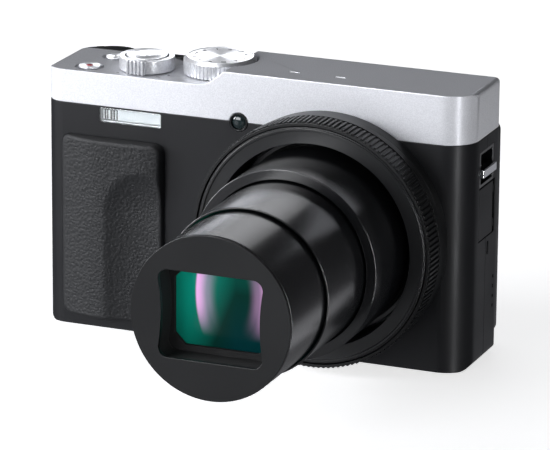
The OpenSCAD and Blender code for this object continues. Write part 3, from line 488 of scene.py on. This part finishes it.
# Eyepiece glass: dark, with a faint violet that is a painted reflection of its coating, stronger
# where the glass faces the view.
eye_glass_painted_reflection, tree, shader = finish("coated_eyepiece_glass_painted_reflection", "#14142A", 0.06, IOR=1.6, Coat_Weight=0.5,
                                 Coat_Roughness=0.03)
# Painted reflection: violet where the glass faces the view, dark blue towards its edge.
rim = add(tree, "ShaderNodeLayerWeight", {"Blend": 0.5})
vary(tree, shader, rim.outputs["Facing"], "#1B1633", "#0B1020", low=0.0, high=1.0)
print("glass finishes:", [m.name for m in (coated_glass, lamp_glass_painted_sheen, screen_glass, eye_glass_painted_reflection)])

# %% [markdown]
# ## Finishes inside the body
# These show only when a door is open or the shell is taken apart, yet each is its own stuff:
# green glass-epoxy boards with copper tracks, galvanised sheet for the frame, a shrunk vinyl
# sleeve on the battery, and plain moulded ABS.

# %% Boards, sheet metal and inner plastics
# Solder-masked glass epoxy: green, with straight paler tracks under the lacquer.
board_green, tree, shader = finish("solder_masked_glass_epoxy", "#1D5A39", 0.35, IOR=1.5)
tracks = add(tree, "ShaderNodeTexBrick", {"Vector": place(tree), "Scale": 1 / (9.0 * MM),
                                          "Color1": linear("#1C5637"), "Color2": linear("#20613F"),
                                          "Mortar": linear("#3E8A55"), "Mortar Size": 0.03})
tree.links.new(tracks.outputs["Color"], shader.inputs["Base Color"])

# Galvanised sheet steel: pale grey with faint zinc crystals.
sheet_steel, tree, shader = finish("galvanised_sheet_steel", "#9FA1A3", 0.42, metallic=0.9)
crystals = add(tree, "ShaderNodeTexVoronoi", {"Vector": place(tree), "Scale": 1 / (3.0 * MM)})
vary(tree, shader, crystals.outputs["Color"], "#8E9092", "#ADAFB1", low=0.0, high=1.0)

# Nickel-plated motor cans: brighter and smoother than the sheet.
can_nickel, tree, shader = finish("nickel_plated_can", "#B5B4AF", 0.28, metallic=1.0)
grain = fine_grain(tree, shader, 0.4, 0.006, 0.24, 0.34)
vary(tree, shader, grain.outputs["Fac"], "#ABAAA5", "#BFBEBA")

# Plain moulded ABS for housings: dark grey, dull, straight from the tool.
bay_abs, tree, shader = finish("moulded_grey_abs", "#2A2A2C", 0.55, IOR=1.52)
grain = fine_grain(tree, shader, 0.5, 0.02, 0.5, 0.6)
vary(tree, shader, grain.outputs["Fac"], "#262628", "#2F2F31")

# Heat-shrunk vinyl sleeve on the battery: blue-grey with soft wrinkles.
sleeve, tree, shader = finish("heat_shrunk_vinyl", "#3A3D44", 0.38, IOR=1.54)
grain = fine_grain(tree, shader, 3.0, 0.15, 0.34, 0.44, strength=0.3)
vary(tree, shader, grain.outputs["Fac"], "#363940", "#40434B")

# Card plastic: navy ABS with a fine matt face.
card_abs, tree, shader = finish("matt_navy_abs", "#22304A", 0.5, IOR=1.52)
grain = fine_grain(tree, shader, 0.3, 0.01, 0.46, 0.56)
vary(tree, shader, grain.outputs["Fac"], "#1E2B43", "#273650")

# Sensor chip: dark glass over a fine grid of cells that throws faint colour.
sensor, tree, shader = finish("sensor_cover_glass", "#2A2440", 0.12, IOR=1.6, Coat_Weight=0.3,
                              Coat_Roughness=0.05)
grid = add(tree, "ShaderNodeTexChecker", {"Vector": place(tree), "Scale": 1 / (0.4 * MM),
                                          "Color1": linear("#2A2440"), "Color2": linear("#243549")})
tree.links.new(grid.outputs["Color"], shader.inputs["Base Color"])
print("materials in all:", len(bpy.data.materials))

# %% [markdown]
# ## Softened edges
# CAD edges are perfectly sharp, and nothing real is. Each solid gets its duplicate points
# welded, its flat facets joined where that is safe, a small rounded edge and smooth shading, all
# as modifiers, so the CAD mesh underneath is untouched. The rounding is the real one: about
# 0.2 mm on mouldings, less on fine teeth.

# %% Dress every solid
OWN_FINISH = {"face_ring": face_black}
MATERIAL_OF_SLOT = {
    "black_shell": shell_black, "silver_top": shell_silver, "black_trim": trim_gloss,
    "grip_rubber": grip_skin, "screw_black": screw_black, "steel": steel, "lug_chrome": chrome,
    "clear_plastic": clear_pc, "reflector": flash_mirror, "lamp_lens": lamp_glass_painted_sheen,
    "lens_black": barrel_black, "ring_black": ring_black, "matt_black": trap_black,
    "coated_glass": coated_glass, "dial_metal": spun_alu, "key_plastic": key_black,
    "screen_frame": key_black, "screen_glass": screen_glass, "eyepiece_glass": eye_glass_painted_reflection,
    "board_green": board_green, "chassis_steel": sheet_steel, "bay_plastic": bay_abs,
    "battery_wrap": sleeve, "card_plastic": card_abs, "motor_steel": can_nickel,
    "sensor_chip": sensor}
EDGE_MM = {
    "front_cover": 0.15, "rear_cover": 0.15, "top_cover": 0.25, "lcd_housing": 0.25, "lcd_glass": 0.15,
    "base_plate": 0.15, "battery_door": 0.15, "port_door": 0.12, "thumb_rest": 0.5,
    "control_ring": 0.05, "mode_dial": 0.06, "rear_dial": 0.05, "zoom_lever": 0.07,
    "face_ring": 0.12, "lens_collar": 0.12, "rear_barrel": 0.2, "middle_barrel": 0.16,
    "front_barrel": 0.12, "nose_plate": 0.14, "flash_window": 0.15, "strap_lug": 0.25,
    "shutter_button": 0.18, "video_button": 0.2, "power_button": 0.2, "set_button": 0.3,
    "play_button": 0.25, "fn_button": 0.25, "trash_button": 0.25, "viewfinder_button": 0.2,
    "eyepiece_frame": 0.4}
USUAL_EDGE_MM, WELD_MM = 0.08, 0.001
CREASE, FLAT = math.radians(28), math.radians(0.5)
# Flat faces with openings in them stay as triangles: joined, they would close over the openings.
PIERCED = ("control_ring", "front_cover", "rear_cover", "top_cover", "lcd_housing", "battery",
           "battery_door", "battery_latch", "port_door", "thumb_rest", "eyepiece_frame")


def soften(piece, width_mm, steps=2, join_facets=True):
    """Rounds every crease; join_facets first makes one face of each flat group of triangles."""
    weld = piece.modifiers.new("weld", "WELD")
    weld.merge_threshold = WELD_MM * MM
    if join_facets:
        facets = piece.modifiers.new("flat_facets", "DECIMATE")
        facets.decimate_type, facets.angle_limit = "DISSOLVE", FLAT
    edge = piece.modifiers.new("edge", "BEVEL")
    edge.width, edge.segments = width_mm * MM, steps
    edge.limit_method, edge.angle_limit = "ANGLE", CREASE
    edge.use_clamp_overlap, edge.harden_normals, edge.loop_slide = False, True, False
    edge.miter_outer = "MITER_ARC"


for name, solid in nodes.items():
    slot_name = solid.data.materials[0].name.split(".")[0]
    solid.data.materials[0] = OWN_FINISH.get(name, MATERIAL_OF_SLOT[slot_name])
    if "custom_normal" in solid.data.attributes:
        solid.data.attributes.remove(solid.data.attributes["custom_normal"])
    solid.data.shade_smooth()
    soften(solid, EDGE_MM.get(name, USUAL_EDGE_MM), join_facets=name not in PIERCED)
print("dressed", len(nodes), "solids")

# %% [markdown]
# ## Building pieces of our own
# Most pieces are either turned, like a bead or a ring, or cut from a flat outline, like a mark
# on a key. Two builders cover both. A third hands the finished mesh over: it names it, gives it
# its finish, rounds its edges and lets it ride on its body.

# %% Turned and cut shapes
ALONG_X, ALONG_Y, ALONG_Z = Vector((1, 0, 0)), Vector((0, 1, 0)), Vector((0, 0, 1))


def turn(mesh, profile, centre, axis, steps=64):
    """Spins a profile of (radius, distance along the axis) pairs, in mm, round the axis."""
    side = (ALONG_Z if abs(axis.z) < 0.9 else ALONG_X).cross(axis).normalized()
    other = axis.cross(side)
    rings = []
    for radius, along in profile:
        middle = centre + axis * along * MM
        if radius == 0:
            rings.append([mesh.verts.new(middle)] * steps)
        else:
            rings.append([mesh.verts.new(middle + radius * MM * (math.cos(a) * side + math.sin(a) * other))
                          for a in (2 * math.pi * i / steps for i in range(steps))])
    for near, far in zip(rings, rings[1:]):
        for i in range(steps):
            corners = [near[i], near[i - 1], far[i - 1], far[i]]
            mesh.faces.new(list(dict.fromkeys(corners)))


def cut(mesh, outline, centre, across, up, out, thickness):
    """Cuts a flat outline of (x, y) pairs, in mm, and gives it a thickness along out."""
    low = [mesh.verts.new(centre + (across * x + up * y) * MM) for x, y in outline]
    high = [mesh.verts.new(v.co + out * thickness * MM) for v in low]
    mesh.faces.new(low[::-1])
    mesh.faces.new(high)
    for i in range(len(low)):
        mesh.faces.new([low[i - 1], low[i], high[i], high[i - 1]])


def keep(mesh, name, body, material, edge_mm=0.0):
    bmesh.ops.recalc_face_normals(mesh, faces=mesh.faces)
    data = bpy.data.meshes.new(name)
    mesh.to_mesh(data)
    mesh.free()
    data.materials.append(material)
    data.shade_smooth()
    data.set_sharp_from_angle(angle=CREASE)
    made = bpy.data.objects.new(name, data)
    scene.collection.objects.link(made)
    if edge_mm:
        edge = made.modifiers.new("edge", "BEVEL")
        edge.width, edge.segments, edge.angle_limit = edge_mm * MM, 2, CREASE
        edge.harden_normals = True
    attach(made, body)
    print("made", name, len(data.polygons), "faces")
    return made


def bar(width, height, x=0.0, y=0.0):
    return [(x - width / 2, y - height / 2), (x + width / 2, y - height / 2),
            (x + width / 2, y + height / 2), (x - width / 2, y + height / 2)]


def disc(radius, x=0.0, y=0.0, sides=24):
    return [(x + radius * math.cos(2 * math.pi * i / sides), y + radius * math.sin(2 * math.pi * i / sides))
            for i in range(sides)]


# %% [markdown]
# ## The grip
# The pad is a moulded elastomer with a leather grain. It swells towards the fingers, and a
# shallow scoop with a rounded top takes the middle finger. A picture of leather would look
# flat at its edges, so the grain is real relief: a fine mesh is pushed in along the borders of
# pebble cells 0.8 mm across, and the finish adds only the pores.

# %% Shape of the grip pad
# All sizes here are in mm. The scoop is a tube of radius SCOOP_R whose end is round above SCOOP_Z.
PAD_THICK, PAD_EDGE, PAD_CORNER = 3.6, 0.9, 2.4
SCOOP_R, SCOOP_X, SCOOP_Y, SCOOP_Z = 28.6, -27.0, -44.0, 31.0
SCOOP_BLEND = 0.35
PEBBLE_MM, PEBBLE_DEEP, CREASE_WIDE = 0.82, 0.135, 0.32
WRINKLE_DEEP, CALM_RIM = 0.035, 1.2
FRONT_Y, SEAT = -14.0, 0.6

pad_low, pad_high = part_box("grip_pad")
pad_x0, pad_x1 = pad_low.x / MM, pad_high.x / MM
pad_z0, pad_z1 = pad_low.z / MM, pad_high.z / MM


def curve(start, pull, end, t):
    return [(1 - t) ** 2 * a + 2 * t * (1 - t) * b + t * t * c for a, b, c in zip(start, pull, end)]


full = FRONT_Y - PAD_THICK
profile = [curve((pad_x0, FRONT_Y - 0.3), (pad_x0 + 7, full), (pad_x0 + 13, full), i / 20) for i in range(21)]
profile += [curve((pad_x0 + 14, full), (pad_x1 - 0.5, full - 0.4), (pad_x1, full + 1.2), i / 20)
            for i in range(21)]


def pad_face(x):
    for (x_a, y_a), (x_b, y_b) in zip(profile, profile[1:]):
        if x <= x_b:
            return y_a + (y_b - y_a) * max(0.0, (x - x_a) / max(x_b - x_a, 1e-6))
    return profile[-1][1]


def scoop_face(x, z):
    reach = SCOOP_R ** 2 - (x - SCOOP_X) ** 2 - max(0.0, z - SCOOP_Z) ** 2
    return SCOOP_Y + math.sqrt(reach) if reach > 0 else -99.0


def inset_at(z):
    into = max(PAD_CORNER - (z - pad_z0), PAD_CORNER - (pad_z1 - z), 0.0)
    return PAD_CORNER - math.sqrt(max(PAD_CORNER ** 2 - into ** 2, 0.0))


def edge_distance(x, z):
    dx = min(x - pad_x0, pad_x1 - x)
    dz = min(z - pad_z0, pad_z1 - z)
    if dx < PAD_CORNER and dz < PAD_CORNER:
        return PAD_CORNER - math.hypot(PAD_CORNER - dx, PAD_CORNER - dz)
    return min(dx, dz)


def pad_depth(x, z):
    face, scoop = pad_face(x), scoop_face(x, z)
    blend = max(0.0, SCOOP_BLEND - abs(face - scoop)) / SCOOP_BLEND
    depth = max(face, scoop) + blend * blend * SCOOP_BLEND / 4
    near = max(0.0, edge_distance(x, z))
    if near < PAD_EDGE:
        depth += PAD_EDGE - math.sqrt(PAD_EDGE ** 2 - (PAD_EDGE - near) ** 2)
    gaps, _ = noise.voronoi(Vector((x, 0.07 * x, 0.92 * z)) / PEBBLE_MM)
    crease = max(0.0, 1 - (gaps[1] - gaps[0]) / CREASE_WIDE)
    wrinkle = noise.fractal(Vector((x, 0, z)) * 1.9, 1.0, 2.0, 3)
    calm = min(1.0, near / CALM_RIM)
    return min(depth + calm * (PEBBLE_DEEP * crease ** 1.5 + WRINKLE_DEEP * wrinkle), FRONT_Y - 0.05)


print("pad in mm: wide", round(pad_x1 - pad_x0, 1), "high", round(pad_z1 - pad_z0, 1))

# %% Mould the grip pad
PAD_COLUMNS, PAD_ROWS = 130, 220
mesh = bmesh.new()
rows = []
for j in range(PAD_ROWS + 1):
    z = pad_z0 + (pad_z1 - pad_z0) * j / PAD_ROWS
    margin = inset_at(z)
    left, right_end = pad_x0 + margin, pad_x1 - margin
    rows.append([mesh.verts.new(Vector((x, pad_depth(x, z), z)) * MM)
                 for x in (left + (right_end - left) * i / PAD_COLUMNS for i in range(PAD_COLUMNS + 1))])
for low_row, high_row in zip(rows, rows[1:]):
    for i in range(PAD_COLUMNS):
        mesh.faces.new([low_row[i], low_row[i + 1], high_row[i + 1], high_row[i]])
rim = rows[0] + [row[-1] for row in rows[1:]] + rows[-1][-2::-1] + [row[0] for row in rows[-2:0:-1]]
foot = [mesh.verts.new(Vector((v.co.x, (FRONT_Y + SEAT) * MM, v.co.z))) for v in rim]
for i in range(len(rim)):
    mesh.faces.new([rim[i - 1], foot[i - 1], foot[i], rim[i]])
mesh.faces.new(foot)
grip = keep(mesh, "grip_leather", "camera_body", grip_skin)
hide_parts("grip_pad")

# %% [markdown]
# ## The flash and the focus lamp
# Behind the clear flash window sits a prism panel: fine sideways ridges spread the light. Its
# outer end is dark, because the end wall of the lamp house shows there through a few upright
# ribs. Panel and ribs glow a little, which is painted light. The focus lamp is a smoked bead in
# a ring, with a painted sheen that makes it lighter where it faces the view.

# %% Flash panel, end ribs and lamp bead
window_low, window_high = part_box("flash_window")
RIDGES, RIDGE_DEEP, PANEL_THICK = 9, 0.14, 0.25
end_x = window_low.x / MM + 4.6
panel_x0, panel_x1 = end_x, window_high.x / MM - 0.55
panel_z0, panel_z1 = window_low.z / MM + 0.5, window_high.z / MM - 0.5
panel_y = window_high.y / MM + 0.05
pitch = (panel_z1 - panel_z0) / RIDGES

# This plastic glows a little: painted light, on the prism panel and the end ribs alike.
prism_pc_painted_glow, tree, shader = finish("frosted_prism_polycarbonate_painted_glow", "#F6F8F9", 0.25, IOR=1.58,
                                Emission_Strength=0.2)
streak = add(tree, "ShaderNodeTexNoise", {"Vector": place(tree), "Scale": 1 / (3.85 * MM)})
vary(tree, shader, streak.outputs["Fac"], "#E6EAED", "#F8F9FA")
shader.inputs["Emission Color"].default_value = linear("#EEF3F6")

mesh = bmesh.new()
teeth = [(panel_y + PANEL_THICK, panel_z0)]
for i in range(RIDGES):
    teeth += [(panel_y + RIDGE_DEEP, panel_z0 + pitch * i), (panel_y, panel_z0 + pitch * (i + 0.5))]
teeth += [(panel_y + RIDGE_DEEP, panel_z1), (panel_y + PANEL_THICK, panel_z1)]
cut(mesh, teeth, Vector((panel_x0, 0, 0)) * MM, ALONG_Y, ALONG_Z, ALONG_X, panel_x1 - panel_x0)
keep(mesh, "flash_prism_panel", "camera_body", prism_pc_painted_glow)

WALL_THICK, END_RIB_HIGH = 0.08, 0.15
END_RIBS = ((-3.75, 0.3), (-3.0, 0.12), (-2.3, 0.5), (-1.35, 0.16), (-0.6, 0.35))
panel_back, panel_middle, panel_tall = panel_y + PANEL_THICK, (panel_z0 + panel_z1) / 2, panel_z1 - panel_z0
mesh = bmesh.new()
cut(mesh, bar(4.0, panel_tall), Vector((end_x - 2.15, panel_back, panel_middle)) * MM,
    ALONG_X, ALONG_Z, -ALONG_Y, WALL_THICK)
keep(mesh, "flash_end_wall", "camera_body", trim_gloss, 0.02)
mesh = bmesh.new()
for x, width in END_RIBS:
    cut(mesh, bar(width, panel_tall - 0.3), Vector((end_x + x, panel_back - WALL_THICK, panel_middle)) * MM,
        ALONG_X, ALONG_Z, -ALONG_Y, END_RIB_HIGH)
keep(mesh, "flash_end_ribs", "camera_body", prism_pc_painted_glow, 0.04)

lamp_low, lamp_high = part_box("af_lamp_lens")
lamp_r = (lamp_high.x - lamp_low.x) / 2 / MM
lamp_middle = Vector(((lamp_low.x + lamp_high.x) / 2, lamp_high.y, (lamp_low.z + lamp_high.z) / 2))
BEAD_WALL, BEAD_DOME = 1.5, 0.75
bead = [(0, 0), (lamp_r, 0), (lamp_r, BEAD_WALL)]
bead += [(lamp_r * math.cos(math.radians(a)), BEAD_WALL + BEAD_DOME * math.sin(math.radians(a)))
         for a in range(10, 90, 10)]
mesh = bmesh.new()
turn(mesh, bead + [(0, BEAD_WALL + BEAD_DOME)], lamp_middle, -ALONG_Y)
lamp = keep(mesh, "focus_lamp_bead", "camera_body", lamp_glass_painted_sheen)
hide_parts("af_lamp_lens")

# %% [markdown]
# ## Marks and inlays on the top
# Marks on the dial are filled engravings: plain strokes, dots and boxes here, in the real
# places but without meaning. Two narrow slots over the microphones hold bright mesh strips,
# and the film button carries a red enamel dot.

# %% Inks and enamel
# The pigment specks of inks and lacquers are drawn three to the millimetre, so that they show.
INK_SPECK = 3.0 / MM

# Engraving fill: dark grey cellulose lacquer, flat, so the marks read against bright metal.
engraving, tree, shader = finish("cellulose_engraving_fill", "#4A4B4F", 0.5, IOR=1.47)
speck = add(tree, "ShaderNodeTexNoise", {"Vector": place(tree), "Scale": INK_SPECK})
vary(tree, shader, speck.outputs["Fac"], "#434448", "#55565A")

# Fired enamel: clean signal red with a wet gloss.
enamel_red, tree, shader = finish("fired_red_enamel", "#C8202C", 0.15, IOR=1.55, Coat_Weight=0.5)
speck = add(tree, "ShaderNodeTexNoise", {"Vector": place(tree), "Scale": INK_SPECK / 2})
vary(tree, shader, speck.outputs["Fac"], "#C01C28", "#D22A34")

# White print: screen-printed ink on black keys, slightly soft-edged and dull.
print_white, tree, shader = finish("screen_printed_white_ink", "#D8D9DA", 0.55, IOR=1.5)
speck = add(tree, "ShaderNodeTexNoise", {"Vector": place(tree), "Scale": INK_SPECK})
vary(tree, shader, speck.outputs["Fac"], "#CDCECF", "#E1E2E3")
print("print finishes:", [m.name for m in (engraving, enamel_red, print_white)])

# %% Top-side marks, microphone strips and the red dot
dial_low, dial_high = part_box("mode_dial")
dial_top = dial_high.z - 0.15 * MM
dial_middle = Vector(((dial_low.x + dial_high.x) / 2, (dial_low.y + dial_high.y) / 2, dial_top))
DIAL_MARKS, MARK_R, MARK_HIGH, DECK_MARK_HIGH = 12, 6.4, 0.04, 0.03
shapes = [[bar(1.1, 0.28)], [disc(0.42)], [bar(1.2, 0.2, 0, 0.35), bar(1.2, 0.2, 0, -0.35)],
          [[(-0.55, -0.45), (0.55, -0.45), (0, 0.55)]], [bar(0.25, 1.1)], [bar(0.9, 0.9)],
          [disc(0.28, -0.4), disc(0.28, 0.4)], [bar(0.25, 1.0, -0.35), bar(0.25, 1.0, 0.35)]]
mesh = bmesh.new()
for i in range(DIAL_MARKS):
    angle = 2 * math.pi * i / DIAL_MARKS
    outward = Vector((math.cos(angle), math.sin(angle), 0))
    sideways = Vector((-outward.y, outward.x, 0))
    for shape in shapes[i % len(shapes)]:
        cut(mesh, shape, dial_middle + outward * MARK_R * MM, sideways, outward, ALONG_Z, MARK_HIGH)
keep(mesh, "dial_marks", "mode_dial", engraving)

deck_z, hump_z = 65.4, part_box("top_cover")[1].z / MM
# Each mark on the deck and the hump: its outline and its place in mm.
deck_marks = [(disc(0.3), (-24.3, -9.1, deck_z)), (bar(1.5, 0.35), (-4.6, dial_middle.y / MM, hump_z)),
              (bar(0.7, 0.3), (-36.8, -11.6, deck_z)), (bar(1.1, 0.3), (-26.0, -11.6, deck_z))]
mesh = bmesh.new()
for outline, spot in deck_marks:
    cut(mesh, outline, Vector(spot) * MM, ALONG_X, ALONG_Y, ALONG_Z, DECK_MARK_HIGH)
keep(mesh, "deck_marks", "camera_body", engraving)

SLOT_Y, SLOT_FLOOR, MESH_THICK = -7.7, 0.7, 0.6
mesh = bmesh.new()
for x in (8.2, 20.1):
    cut(mesh, bar(2.4, 0.44), Vector((x, SLOT_Y, hump_z - SLOT_FLOOR)) * MM,
        ALONG_X, ALONG_Y, ALONG_Z, MESH_THICK)
keep(mesh, "microphone_strips", "camera_body", flash_mirror, 0.1)

film_low, film_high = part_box("video_button")
film_middle = Vector(((film_low.x + film_high.x) / 2, (film_low.y + film_high.y) / 2, film_high.z))
mesh = bmesh.new()
turn(mesh, [(0, -0.1), (0.85, -0.1), (0.85, 0.03), (0.7, 0.09), (0, 0.12)], film_middle, ALONG_Z, 32)
keep(mesh, "film_button_dot", "video_button", enamel_red)

# %% [markdown]
# ## Keys on the back
# Each rear key carries a small printed sign, kept to plain shapes: a wedge for playing, a bar
# with a lid for deleting, three lines, a dot. The dial round the set key has two strokes and
# two dots. They are thin plates of ink, 0.04 mm high, so they catch the light like real screen
# print.

# %% Print the rear signs
SIGN_HIGH, WHEEL_SIGN_R = 0.04, 7.7
BACKWARD = ALONG_Y
signs = {
    "play_button": [[(-0.7, -0.8), (0.9, 0.0), (-0.7, 0.8)]],
    "trash_button": [bar(1.3, 0.2, 0, 0.75), bar(0.95, 1.1, 0, -0.15)],
    "fn_button": [bar(1.4, 0.24, 0, 0.5), bar(1.4, 0.24, 0, 0), bar(1.4, 0.24, 0, -0.5)],
    "viewfinder_button": [disc(0.5)],
    "set_button": [disc(0.7)]}
for name, shape in signs.items():
    low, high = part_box(name)
    centre = Vector(((low.x + high.x) / 2, high.y, (low.z + high.z) / 2))
    mesh = bmesh.new()
    for outline in shape:
        cut(mesh, outline, centre, -ALONG_X, ALONG_Z, BACKWARD, SIGN_HIGH)
    keep(mesh, name + "_sign", name, print_white)

wheel_low, wheel_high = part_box("rear_dial")
wheel_middle = Vector(((wheel_low.x + wheel_high.x) / 2, wheel_high.y, (wheel_low.z + wheel_high.z) / 2))
mesh = bmesh.new()
for i in range(4):
    angle = math.pi * i / 2
    outward = Vector((math.cos(angle), 0, math.sin(angle)))
    sideways = Vector((-outward.z, 0, outward.x))
    cut(mesh, bar(1.4, 0.3) if i % 2 else disc(0.45), wheel_middle + outward * WHEEL_SIGN_R * MM,
        sideways, outward, BACKWARD, SIGN_HIGH)
keep(mesh, "rear_dial_signs", "rear_dial", print_white)

# %% [markdown]
# ## Underneath
# The tripod bush has a quarter-inch thread. A real helix of twenty turns to the inch would be
# hidden in its bore, so rings at the same pitch, 1.27 mm, stand for it. The battery door gets
# an arrow that says which way its catch slides.

# %% Thread rings and door arrow
PITCH_MM, BORE_R, RIDGE, RINGS = 1.27, 2.6, 0.16, 4
mesh = bmesh.new()
for i in range(RINGS):
    start = 0.35 + PITCH_MM * i
    turn(mesh, [(BORE_R, start), (BORE_R - RIDGE, start + 0.35), (BORE_R - RIDGE, start + 0.5),
                (BORE_R, start + 0.85), (BORE_R + 0.02, start + 0.42), (BORE_R, start)],
         Vector((0, 0, 0)), ALONG_Z, 48)
bmesh.ops.remove_doubles(mesh, verts=mesh.verts, dist=0.0005 * MM)
keep(mesh, "tripod_thread_rings", "camera_body", steel)

latch_low, latch_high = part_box("battery_latch")
ARROW_BESIDE, ARROW_HIGH = 6, 0.03
arrow_place = Vector(((latch_low.x + latch_high.x) / 2 - ARROW_BESIDE * MM,
                      (latch_low.y + latch_high.y) / 2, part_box("battery_door")[0].z))
arrow = [(-1.6, 0.0), (-0.4, 1.0), (-0.4, 0.35), (1.6, 0.35), (1.6, -0.35), (-0.4, -0.35), (-0.4, -1.0)]
mesh = bmesh.new()
cut(mesh, arrow, arrow_place, ALONG_X, ALONG_Y, -ALONG_Z, ARROW_HIGH)
keep(mesh, "battery_door_arrow", "battery_door", print_white)

# %% [markdown]
# ## Contacts
# Gold-flashed contact pads show when the battery door stands open: four on the battery and a
# row on the card.

# %% Gold contacts
# Gold flash over nickel: a warm thin plating with a soft shine.
gold, tree, shader = finish("gold_flashed_contact", "#D6B05E", 0.25, metallic=1.0)
speck = add(tree, "ShaderNodeTexNoise", {"Vector": place(tree), "Scale": 1 / (0.4 * MM)})
vary(tree, shader, speck.outputs["Fac"], "#CFA855", "#DDB969")

CONTACT_PITCH, CELL_CONTACTS, CARD_CONTACTS = 2.4, 4, 8
battery_low, battery_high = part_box("battery")
mesh = bmesh.new()
for i in range(CELL_CONTACTS):
    pad_place = Vector(((-23.3 + CONTACT_PITCH * i) * MM, battery_low.y + 3.4 * MM,
                        battery_high.z - 1.0 * MM))
    cut(mesh, bar(1.2, 3.4), pad_place, ALONG_X, ALONG_Y, ALONG_Z, 0.1)
keep(mesh, "battery_contacts", "camera_body", gold, 0.03)
card_low, card_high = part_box("memory_card")
mesh = bmesh.new()
for i in range(CARD_CONTACTS):
    pad_place = Vector((card_low.x + (3.0 + CONTACT_PITCH * i) * MM, card_low.y, card_high.z - 5.5 * MM))
    cut(mesh, bar(1.6, 4.0), pad_place, ALONG_X, ALONG_Z, -ALONG_Y, 0.03)
keep(mesh, "card_contacts", "camera_body", gold)
